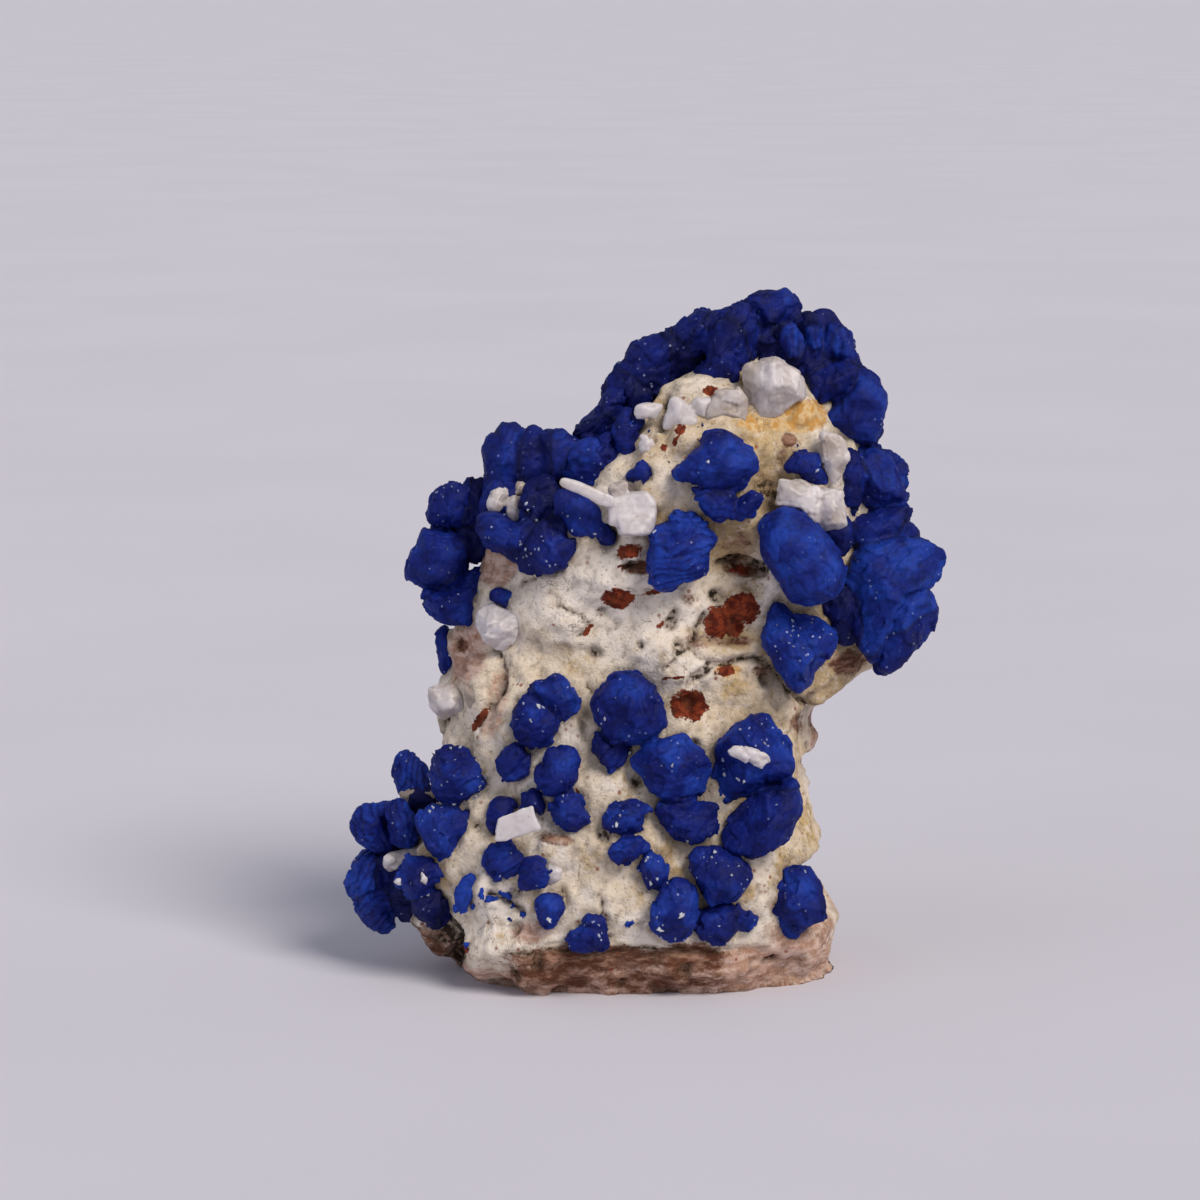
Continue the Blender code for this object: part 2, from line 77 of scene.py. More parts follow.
def clamp(value: float, low: float = 0.0, high: float = 1.0) -> float:
    """The value kept between low and high."""
    return min(high, max(low, value))


def smooth_step(value: float, low: float, high: float) -> float:
    """0 below low and 1 above high, with a smooth rise between them."""
    share = clamp((value - low) / (high - low))
    return share * share * (3 - 2 * share)


def pseudo(*seeds: float) -> float:
    """A fixed number from 0 to 1 for the given seeds."""
    value = math.sin(sum((i + 1.37) * 12.9898 * seed for i, seed in enumerate(seeds))) * 43758.5453
    return value - math.floor(value)


def in_sight(x: float, y: float, z: float, depth: float) -> tuple[float, float]:
    """Where the line of sight through a place passes a plane at another depth: (x, z)."""
    share = (depth - EYE.y) / (y - EYE.y)
    return EYE.x + (x - EYE.x) * share, EYE.z + (z - EYE.z) * share


def add_node(tree: bpy.types.NodeTree, kind: str, inputs: dict, **settings) -> bpy.types.Node:
    """Adds a shader node with its settings, and sets or links its inputs.

    Args:
        tree: the node tree that gets the node.
        kind: the node's type name, without the leading "ShaderNode".
        inputs: values or output sockets, by input name or number.
        settings: attributes of the node itself.

    Returns:
        The new node.
    """
    node = tree.nodes.new("ShaderNode" + kind)
    for name, value in settings.items():
        setattr(node, name, value)
    for key, value in inputs.items():
        if isinstance(value, bpy.types.NodeSocket):
            tree.links.new(value, node.inputs[key])
        else:
            node.inputs[key].default_value = value
    return node


class Shades:
    """A material put together step by step. Values are numbers or sockets, colours hex text or sockets."""

    def __init__(self, name: str) -> None:
        """Starts a material with its Principled shader, and Object coordinates in millimetres."""
        self.material = bpy.data.materials.new(name)
        self.material.use_nodes = True
        self.tree = self.material.node_tree
        self.shader = self.tree.nodes["Principled BSDF"]
        place = add_node(self.tree, "TexCoord", {}).outputs["Object"]
        self.place = add_node(self.tree, "Mapping", {"Vector": place, "Scale": UP_TO_MM}).outputs["Vector"]

    def painted(self, name: str) -> bpy.types.Node:
        """What is painted on the piece under that name, with the outputs Fac and Color."""
        return add_node(self.tree, "Attribute", {}, attribute_name=name)

    def channels(self, node: bpy.types.Node) -> list:
        """The three channels of a node's colour."""
        return list(add_node(self.tree, "SeparateColor", {"Color": node.outputs["Color"]}).outputs)

    def cloud(self, size: float, detail: float, rough: float, warp: float = 0.0,
              stretch: tuple = (1, 1, 1)) -> Socket:
        """Noise with lumps about size millimetres across, from 0 to 1. stretch packs it along the axes."""
        place = self.place
        if stretch != (1, 1, 1):
            place = add_node(self.tree, "VectorMath", {0: place, 1: stretch}, operation="MULTIPLY").outputs[0]
        inputs = {"Vector": place, "Scale": 1 / size, "Detail": detail, "Roughness": rough, "Distortion": warp}
        return add_node(self.tree, "TexNoise", inputs).outputs["Fac"]

    def cells(self, size: float) -> bpy.types.Node:
        """Cells about size millimetres apart, with the outputs Distance, to the middle, and Color, of the cell."""
        return add_node(self.tree, "TexVoronoi", {"Vector": self.place, "Scale": 1 / size})

    def between(self, value: Socket, low: float, high: float, full: float = 1.0) -> Socket:
        """A smooth rise from 0 where the value is low to full where it is high, and no further."""
        inputs = {"Value": value, "From Min": low, "From Max": high, "To Min": 0.0, "To Max": full}
        return add_node(self.tree, "MapRange", inputs, interpolation_type="SMOOTHSTEP").outputs["Result"]

    def times(self, first: Value, second: Value) -> Socket:
        """The product, kept between 0 and 1."""
        return add_node(self.tree, "Math", {0: first, 1: second}, operation="MULTIPLY", use_clamp=True).outputs[0]

    def plus(self, first: Value, second: Value) -> Socket:
        """The sum, kept between 0 and 1."""
        return add_node(self.tree, "Math", {0: first, 1: second}, operation="ADD", use_clamp=True).outputs[0]

    def mix(self, share: Value, first: Colour, second: Colour) -> Socket:
        """The first colour where share is 0, and the second where it is 1."""
        first, second = [linear(colour) if isinstance(colour, str) else colour for colour in (first, second)]
        return add_node(self.tree, "Mix", {0: share, 6: first, 7: second}, data_type="RGBA").outputs[2]

    def finish(self, colour: Socket, settings: dict, height: Optional[Socket] = None, strength: float = 0.0,
               deep: float = 0.0) -> bpy.types.Material:
        """Finishes the material.

        Args:
            colour: the base colour.
            settings: constants of the shader, by the name of their socket.
            height: the height of the bump, from 0 to 1.
            strength: how strong the bump is.
            deep: how deep it is, in millimetres.

        Returns:
            The material.
        """
        self.tree.links.new(colour, self.shader.inputs["Base Color"])
        for name, value in settings.items():
            self.shader.inputs[name].default_value = value
        if height is not None:
            bump = add_node(self.tree, "Bump", {"Height": height, "Strength": strength, "Distance": deep * MM})
            self.tree.links.new(bump.outputs["Normal"], self.shader.inputs["Normal"])
        return self.material


def remeshed(bm: bmesh.types.BMesh, voxel: float) -> bmesh.types.BMesh:
    """The joined outer skin of overlapping closed shells, as an even mesh.

    Args:
        bm: the shells, in millimetres, which are freed.
        voxel: the spacing of the new mesh.

    Returns:
        A new bmesh of four-sided faces.
    """
    mesh = bpy.data.meshes.new("shells")
    bm.to_mesh(mesh)
    bm.free()
    holder = bpy.data.objects.new("shells", mesh)
    bpy.context.scene.collection.objects.link(holder)
    modifier = holder.modifiers.new("skin", "REMESH")
    modifier.mode = "VOXEL"
    modifier.voxel_size = voxel
    bpy.context.view_layer.update()
    skin = bmesh.new()
    skin.from_mesh(holder.evaluated_get(bpy.context.evaluated_depsgraph_get()).to_mesh())
    bpy.data.objects.remove(holder)
    bpy.data.meshes.remove(mesh)
    return skin


def smoothed(bm: bmesh.types.BMesh, times: int) -> None:
    """Evens the mesh out by moving each vertex halfway towards its neighbours, the given number of times."""
    for _ in range(times):
        bmesh.ops.smooth_vert(bm, verts=bm.verts, factor=0.5, use_axis_x=True, use_axis_y=True, use_axis_z=True)


def finish_piece(name: str, bm: bmesh.types.BMesh, material: bpy.types.Material, slot: str,
                 nodes: Iterable[str] = ()) -> bpy.types.Object:
    """Turns a bmesh in millimetres into a piece of the specimen.

    Args:
        name: the piece's name.
        bm: its closed mesh, which is freed.
        material: its finish.
        slot: the record's material slot for its finish; not used.
        nodes: the CAD nodes that it stands for.

    Returns:
        The piece, at the origin with its place in its mesh.
    """
    bmesh.ops.scale(bm, vec=(MM, MM, MM), verts=bm.verts)
    mesh = bpy.data.meshes.new(name)
    bm.to_mesh(mesh)
    bm.free()
    mesh.materials.append(material)
    mesh.shade_smooth()
    piece = bpy.data.objects.new(name, mesh)
    bpy.context.scene.collection.objects.link(piece)
    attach(piece, "root")
    if nodes:
        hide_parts(*nodes)
    LOG.info("%s: %d triangles", name, sum(len(face.vertices) - 2 for face in mesh.polygons))
    return piece


def mesh_in_mm(node: str) -> bmesh.types.BMesh:
    """A copy of a CAD node's mesh in millimetres, its loose triangles joined."""
    bm = bmesh.new()
    bm.from_mesh(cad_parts[node].data)
    bmesh.ops.remove_doubles(bm, verts=bm.verts, dist=1e-7)
    bmesh.ops.scale(bm, vec=UP_TO_MM, verts=bm.verts)
    return bm


# Finishes --------------------------------------------------------------------------------------


@dataclass(frozen=True)
class HostRockFinish:
    """Weathered, broken carbonate rock: dry and matt, cream with whiter, tan, grey, pink and rusty parts."""

    cream: str = "#dccdb9"
    white: str = "#e8ded4"
    sand: str = "#bfa478"
    grey: str = "#a99c8f"
    # dirt, also used as painted shade in the hollows and round each crystal
    dirt_and_shade: str = "#4f3c2c"
    # painted shade, nearly black, for the deepest hollows
    painted_deep_shade: str = "#1e150e"
    rust: str = "#84381f"
    brick: str = "#541c10"
    ochre: str = "#c4934f"
    honey: str = "#d6b98c"
    pink: str = "#a8836f"
    rose: str = "#cdb0a3"
    umber: str = "#5c3626"
    roughness: float = 0.92

    def material(self) -> bpy.types.Material:
        """Builds the finish: mottled colour from noise and from the patches painted on the piece."""
        rock = Shades("weathered_carbonate_rock")
        cloud, between, times, plus, mix = rock.cloud, rock.between, rock.times, rock.plus, rock.mix
        rust, ochre, pink = rock.channels(rock.painted("patch_warm"))
        white, umber, sand = rock.channels(rock.painted("patch_cool"))

        # Clouds a few millimetres across: the cream goes over to whiter and sandier rock.
        colour = mix(between(cloud(4.5, 4, 0.6), 0.42, 0.6), self.cream, self.white)
        colour = mix(plus(between(cloud(3.1, 5, 0.6), 0.52, 0.7), sand), colour, self.sand)
        colour = mix(times(white, between(cloud(1.2, 4, 0.6), 0.3, 0.55)), colour, self.white)
        # Mottling of about half a millimetre, which keeps any one spot from being a plain colour.
        mottle = cloud(0.75, 5, 0.65)
        colour = mix(between(mottle, 0.5, 0.72, 0.55), colour, self.grey)
        colour = mix(between(mottle, 0.5, 0.3, 0.6), colour, self.white)
        # Sugary grain: pale points and small dark pores between them.
        grit = cloud(0.24, 3, 0.65)
        colour = mix(between(grit, 0.54, 0.68, 0.3), colour, self.white)
        colour = mix(between(grit, 0.42, 0.3, 0.5), colour, self.dirt_and_shade)
        # Stains with ragged edges: pink and brown ones in level streaks, yellow and rusty ones in grains of
        # half a millimetre. Some of the brown patches are painted shadow, under crystals and rust lumps.
        bedded, uneven = cloud(1.1, 5, 0.65, stretch=(0.8, 0.8, 2.4)), cloud(0.5, 4, 0.65)
        for mask, size, tint, low, high in (
                (pink, 1.4, mix(between(bedded, 0.4, 0.62), self.pink, self.rose), 0.46, 0.66),
                (ochre, 0.9, mix(between(uneven, 0.42, 0.6), self.ochre, self.honey), 0.48, 0.61),
                (umber, 1.2, mix(between(bedded, 0.4, 0.7), self.umber, self.pink), 0.46, 0.64),
                (rust, 0.6, mix(between(uneven, 0.42, 0.58), self.rust, self.brick), 0.52, 0.57)):
            ragged = plus(times(cloud(size, 3, 0.6), 0.45), times(grit, 0.3))
            colour = mix(between(plus(times(mask, 0.35), ragged), low, high), colour, tint)
        # Fine brown specks, 0.1 to 0.3 mm, in swarms: grains of iron oxide.
        specks = between(rock.cells(0.8).outputs["Distance"], 0.22, 0.12)
        dots = times(specks, between(cloud(2.2, 3, 0.6), 0.5, 0.6))
        colour = mix(times(dots, 0.75), colour, self.rust)
        # Dirt and painted shade lie in the hollows, in the cracks and round each crystal, and in the deepest of them
        # the painted shade is nearly black.
        grime_and_shade = times(rock.painted("hollow").outputs["Fac"], between(uneven, 0.2, 0.6))
        colour = mix(times(grime_and_shade, 0.9), colour, self.dirt_and_shade)
        colour = mix(between(grime_and_shade, 0.72, 0.98, 0.85), colour, self.painted_deep_shade)
        # Hair cracks: thin brown lines that come and go.
        level = {0: cloud(2.4, 4, 0.55, 0.6), 1: 0.5, 2: 0.006}
        lines = add_node(rock.tree, "Math", level, operation="COMPARE").outputs[0]
        colour = mix(times(times(lines, between(cloud(3.3, 2, 0.5), 0.5, 0.6)), 0.5), colour, self.dirt_and_shade)

        height = plus(times(grit, 0.75), times(cloud(0.1, 3, 0.7), 0.25))
        return rock.finish(colour, {"Roughness": self.roughness, "Specular IOR Level": 0.2}, height, 0.8, 0.2)


@dataclass(frozen=True)
class AzuriteFinish:
    """Azurite in tight rosettes: tiny plates that lie close, so that it looks like dark blue velvet."""

    name: str = "azurite_rosette"
    deep: str = "#070d49"
    blue: str = "#0d1c6d"
    lit: str = "#1a3b9c"
    painted_crease_shade: str = "#03041c"
    painted_sheen: str = "#5a64a0"
    glint: str = "#a3b0de"
    sheen: str = "#4c6fe0"
    roughness: float = 0.52

    def material(self) -> bpy.types.Material:
        """Builds the finish: tones that drift over each rosette, with painted light and shade, painted shade in the
        grooves, a painted sheen and a few pale glints.
        """
        blue = Shades(self.name)
        cloud, between, times, plus, mix = blue.cloud, blue.between, blue.times, blue.plus, blue.mix
        tone, groove, glitter = blue.channels(blue.painted("skin"))
        fine, broad = cloud(0.3, 5, 0.7), cloud(1.4, 3, 0.5)
        # The tone painted on each body runs from the deep blue to the lit blue: partly random, and partly painted light
        # and shade.
        share = plus(times(tone, 0.75), times(fine, 0.4))
        colour = mix(between(share, 0.2, 0.6), self.deep, self.blue)
        colour = mix(between(share, 0.5, 0.95), colour, self.lit)
        colour = mix(between(broad, 0.5, 0.3, 0.5), colour, self.deep)
        # Painted shade, nearly black, in the creases between bodies and between the finest crystals.
        colour = mix(times(groove, 0.8), colour, self.painted_crease_shade)
        # A painted sheen on plate edges, 0.1 mm wide: grey-blue specks that stand for light caught where the grain
        # stands up.
        grit = cloud(0.13, 3, 0.75)
        colour = mix(times(between(grit, 0.57, 0.7), between(broad, 0.45, 0.65, 0.35)), colour, self.painted_sheen)
        # Pale glints of 0.1 mm, in swarms, where a plate throws the light back.
        cells = blue.cells(0.42)
        chosen = between(blue.channels(cells)[0], 0.7, 0.8)
        glints = times(between(cells.outputs["Distance"], 0.26, 0.12), chosen)
        swarms = times(between(cloud(2.6, 2, 0.5), 0.42, 0.6), glitter)
        colour = mix(times(glints, swarms), colour, self.glint)
        return blue.finish(colour, {
            "Roughness": self.roughness, "IOR": 1.73, "Specular IOR Level": 0.08, "Sheen Weight": 0.06,
            "Sheen Roughness": 0.45, "Sheen Tint": linear(self.sheen),
        }, plus(times(fine, 0.6), times(grit, 0.4)), 0.8, 0.12)


@dataclass(frozen=True)
class CalciteFinish:
    """Calcite in milky lumps and cleaved blocks: white, faintly translucent, with cloudy parts inside."""

    name: str = "milky_calcite"
    body: str = "#d6d0d4"
    cloud: str = "#a5968b"
    roughness: float = 0.42

    def material(self) -> bpy.types.Material:
        """Builds the finish: clouds of about a millimetre, with a little light passing through."""
        milk = Shades(self.name)
        tone, groove, _ = milk.channels(milk.painted("skin"))
        share = milk.plus(tone, milk.times(milk.cloud(1.3, 4, 0.6), 0.4))
        colour = milk.mix(milk.between(share, 0.2, 1.0), self.cloud, self.body)
        # Painted shade, in the cloudy colour, in the grooves between bodies.
        colour = milk.mix(milk.times(groove, 0.5), colour, self.cloud)
        # Dull veins, 0.2 mm wide.
        colour = milk.mix(milk.between(milk.cloud(0.4, 5, 0.7), 0.56, 0.75, 0.5), colour, self.cloud)
        return milk.finish(colour, {
            "Roughness": self.roughness, "IOR": 1.6, "Specular IOR Level": 0.35, "Transmission Weight": 0.15,
            "Subsurface Weight": 0.7, "Subsurface Radius": (1.0, 0.9, 0.8), "Subsurface Scale": 0.8 * MM,
        }, milk.cloud(0.3, 4, 0.6), 0.3, 0.08)


# Host rock -------------------------------------------------------------------------------------


class Patch(Enum):
    """The painted layers of the rock: the attribute that holds each and its channel."""

    RUST = ("patch_warm", 0)
    OCHRE = ("patch_warm", 1)
    PINK = ("patch_warm", 2)
    WHITE = ("patch_cool", 0)
    UMBER = ("patch_cool", 1)
    SAND = ("patch_cool", 2)


@dataclass(frozen=True)
class Oval:
    """An oval on the rock, seen from the front: its middle and half sizes, its amount, and its turn in degrees."""

    x: float
    z: float
    wide: float
    high: float
    amount: float = 1.0
    turn: float = 0.0

    def away(self, x: float, z: float) -> float:
        """How far (x, z) is from the middle, squared: 0 there and 1 on the edge."""
        turn = math.radians(self.turn)
        dx, dz = x - self.x, z - self.z
        across = (dx * math.cos(turn) + dz * math.sin(turn)) / self.wide
        along = (dz * math.cos(turn) - dx * math.sin(turn)) / self.high
        return across * across + along * along

    def paint(self, x: float, z: float) -> float:
        """How much paint there is at (x, z): its amount in the middle, and 0 past the edge."""
        return self.amount * clamp(1.25 - self.away(x, z) * 0.75)

    def swell(self, x: float, z: float) -> float:
        """How far it stands out or goes in at (x, z): its amount in the middle, and 0 past the edge."""
        return self.amount * max(0.0, 1 - self.away(x, z))


def ovals(*rows: tuple) -> list:
    """Ovals from rows of their numbers."""
    return [Oval(*row) for row in rows]


# What is painted on the rock: (x, z, half width, half height, how full, turn).
SPOTS = {
    Patch.RUST: ovals(
        (-1.4, 26.55, 1.1, 0.65), (-0.7, 29.65, 0.85, 0.5, 1.0, 15), (5.3, 25.0, 1.15, 1.1), (6.6, 25.9, 1.15, 1.1),
        (6.0, 25.4, 0.9, 0.8), (6.1, 24.6, 0.7, 0.6), (3.2, 19.5, 1.2, 1.05), (5.6, 21.8, 0.7, 0.4, 0.8, 10),
        (2.6, 37.6, 0.45, 0.35, 0.9, 40), (2.25, 36.8, 0.16, 0.4, 0.9), (1.55, 36.45, 0.25, 0.2, 0.9),
        (4.5, 40.1, 0.5, 0.35), (6.4, 28.5, 0.9, 0.35, 0.85, -10), (-1.0, 28.7, 0.5, 0.2, 0.8, 20),
        (-3.4, 24.5, 0.2, 0.5, 0.85, -30), (-2.6, 25.8, 0.2, 0.15, 0.8), (-10.4, 18.6, 0.3, 1.0, 0.85, -35),
        (-3.9, 13.4, 0.15, 0.7, 0.8, 25), (-11.5, 3.2, 0.3, 0.3, 0.9), (1.3, 24.8, 0.4, 0.2, 0.75, 40),
        (0.9, 27.0, 0.8, 0.2, 0.7, 10), (2.2, 21.3, 0.8, 0.14, 0.75)),
    Patch.OCHRE: ovals(
        (9.4, 42.0, 0.5, 0.4, 0.9), (10.4, 38.5, 1.6, 1.1), (8.2, 38.1, 2.2, 0.7, 0.75), (5.65, 21.8, 0.9, 0.5, 0.7)),
    Patch.PINK: ovals(
        (-11.5, 23.0, 1.5, 2.2), (-9.5, 28.7, 1.6, 1.4, 0.95), (-9.3, 19.8, 0.8, 2.6, 0.6, -15),
        (11.0, 3.5, 2.6, 5.5, 0.75), (1.0, 0.8, 12.0, 1.9, 0.95), (-7.0, 4.4, 1.8, 0.9, 0.75),
        (-13.5, 3.1, 2.6, 1.8, 0.7), (7.5, 2.2, 4.0, 1.3)),
    Patch.WHITE: ovals(
        (-3.4, 26.2, 3.0, 3.0), (-3.6, 26.3, 1.7, 0.9), (2.0, 24.0, 3.0, 3.0, 0.8), (2.2, 34.4, 1.6, 1.6, 0.6),
        (-8.6, 3.9, 2.6, 1.4)),
    # Brown stains, and painted shadow under crystals and rust lumps at (5.8, 23.8), (8.0, 21.8), (9.1, 35.8) and (13.7,
    # 22.3).
    Patch.UMBER: ovals(
        (10.6, 18.3, 0.8, 0.75), (6.6, 28.5, 1.3, 0.6, 0.8), (9.6, 36.9, 0.5, 0.45), (9.1, 35.8, 0.4, 0.7, 0.6),
        (-11.5, 23.5, 0.4, 0.5, 0.9), (8.0, 21.8, 0.7, 0.5, 0.7), (13.7, 22.3, 1.4, 0.9, 0.9),
        (5.8, 23.8, 1.6, 0.4, 0.6), (3.9, 23.8, 1.1, 0.6, 0.6), (6.2, 30.0, 1.3, 1.0, 0.55),
        (3.2, 26.5, 0.7, 0.5, 0.4), (-5.5, 10.6, 1.4, 0.5, 0.7, -10), (0.0, 28.6, 1.0, 0.5, 0.9),
        (-2.6, 2.6, 6.5, 0.9, 0.85), (3.3, 2.6, 2.4, 1.1), (-5.2, 1.3, 4.0, 0.9, 0.8), (1.0, 1.0, 5.0, 0.9, 0.7),
        (-14.0, 3.7, 2.2, 0.7, 0.7, -40)),
    Patch.SAND: ovals(
        (5.4, 30.6, 2.6, 2.2), (4.9, 23.9, 3.2, 1.1), (8.0, 35.4, 3.0, 3.6, 0.9), (4.0, 36.6, 5.0, 3.6, 0.6),
        (1.5, 32.6, 2.2, 3.0, 0.6), (15.0, 22.0, 6.0, 7.0, 0.9), (12.0, 15.0, 2.5, 6.0, 0.8),
        (4.0, 10.0, 7.0, 4.0, 0.3), (8.5, 20.0, 4.0, 3.0, 0.55)),
}

# Pits in the rock's front, which get dirt and painted shade, and knobs where the depth is negative: (x, z, half width,
# half height, depth, turn).
HOLLOWS = ovals(
    (6.0, 28.9, 1.2, 0.5, 1.0, 10), (7.4, 28.6, 1.2, 0.6, 0.9, -20), (5.6, 23.9, 1.8, 0.5, 0.35, -5),
    (-0.5, 28.7, 0.9, 0.5, 0.9), (-2.0, 30.6, 0.8, 0.8, 0.9), (0.9, 34.4, 1.5, 2.4, -1.1),
    (2.3, 36.9, 1.4, 1.2, -0.7), (-0.6, 29.6, 0.8, 0.6, -0.5), (5.3, 25.1, 1.3, 1.2, -0.5),
    (6.6, 26.0, 1.2, 1.2, -0.6), (3.2, 19.5, 0.7, 0.7, 0.5), (-1.4, 26.5, 1.0, 0.6, -0.3),
    (-0.2, 14.5, 0.9, 1.1, 0.8), (-3.5, 18.6, 0.6, 1.8, 0.6), (-5.7, 31.6, 0.9, 2.4, 0.8, -20),
    (8.6, 33.6, 1.6, 2.6, 0.7, 20), (8.5, 21.3, 1.5, 0.7, 0.5, -25), (-9.4, 20.3, 0.6, 3.0, 0.5, -15),
    (4.5, 31.4, 1.8, 0.9, 0.5, -15), (-13.2, 4.6, 1.2, 2.4, 2.4, 28), (-12.35, 2.9, 0.6, 1.9, 2.0, 12),
    (1.7, 37.3, 0.5, 1.4, 0.5, 25), (-4.4, 3.6, 3.4, 0.4, 0.5, 8), (3.2, 3.0, 5.5, 0.35, 0.5, 3))

# Parts of the rock's sides that stand further out, or further in where the amount is negative.
SWELLS = ovals(
    (12.6, 6.0, 3.2, 2.6, -1.9), (11.0, 0.0, 3.0, 0.6, 1.0), (12.0, 2.2, 3.4, 2.8, 1.0), (12.5, 16.3, 2.6, 1.6, -0.6),
    (12.0, 19.8, 2.6, 1.4, 0.3))


@dataclass(frozen=True)
class Crack:
    """A crack across the rock's front: its points, and its half width and depth."""

    points: tuple
    wide: float
    depth: float


CRACKS = [
    Crack(((4.3, 25.6), (3.9, 25.0), (3.6, 24.2), (3.3, 23.3)), 0.26, 0.6),
    Crack(((3.3, 23.3), (2.4, 22.8), (1.7, 22.0)), 0.14, 0.25),
    Crack(((3.3, 23.3), (4.0, 22.7), (4.7, 22.4)), 0.16, 0.3),
    Crack(((4.7, 22.4), (5.6, 22.3), (6.1, 22.5), (6.8, 22.7), (7.6, 22.6), (8.4, 22.3), (8.9, 21.9), (9.3, 21.2),
           (9.9, 20.3), (11.6, 18.8)), 0.24, 0.6),
    Crack(((-5.4, 26.2), (-3.2, 25.0), (-4.0, 23.9)), 0.14, 0.25),
    Crack(((-7.5, 27.6), (-5.5, 28.6), (-4.2, 30.0)), 0.16, 0.3),
    Crack(((-3.4, 20.9), (-2.3, 18.9)), 0.14, 0.3),
    Crack(((-2.6, 7.0), (-2.2, 5.0), (-1.8, 3.6)), 0.12, 0.25),
    Crack(((1.85, 39.5), (1.15, 37.5)), 0.2, 0.4),
    Crack(((-9.4, 23.3), (-9.0, 22.7), (-8.9, 21.9), (-9.0, 21.1), (-9.2, 20.3), (-9.5, 19.7), (-10.1, 19.1),
           (-10.7, 18.1)), 0.18, 0.35),
    Crack(((-9.9, 6.9), (-8.8, 6.5), (-7.8, 5.7)), 0.3, 0.6),
    Crack(((-9.0, 2.7), (-7.2, 2.9), (-5.5, 3.1), (-3.5, 2.9), (-1.7, 2.9), (0.5, 3.3), (3.0, 3.2)), 0.2, 0.2),
]


def distance_to_line(x: float, z: float, points: tuple) -> float:
    """The distance from (x, z) to the nearest part of a line through points."""
    nearest = math.inf
    for (ax, az), (bx, bz) in zip(points, points[1:]):
        along = (bx - ax) ** 2 + (bz - az) ** 2
        share = clamp(((x - ax) * (bx - ax) + (z - az) * (bz - az)) / along)
        nearest = min(nearest, math.hypot(x - ax - share * (bx - ax), z - az - share * (bz - az)))
    return nearest


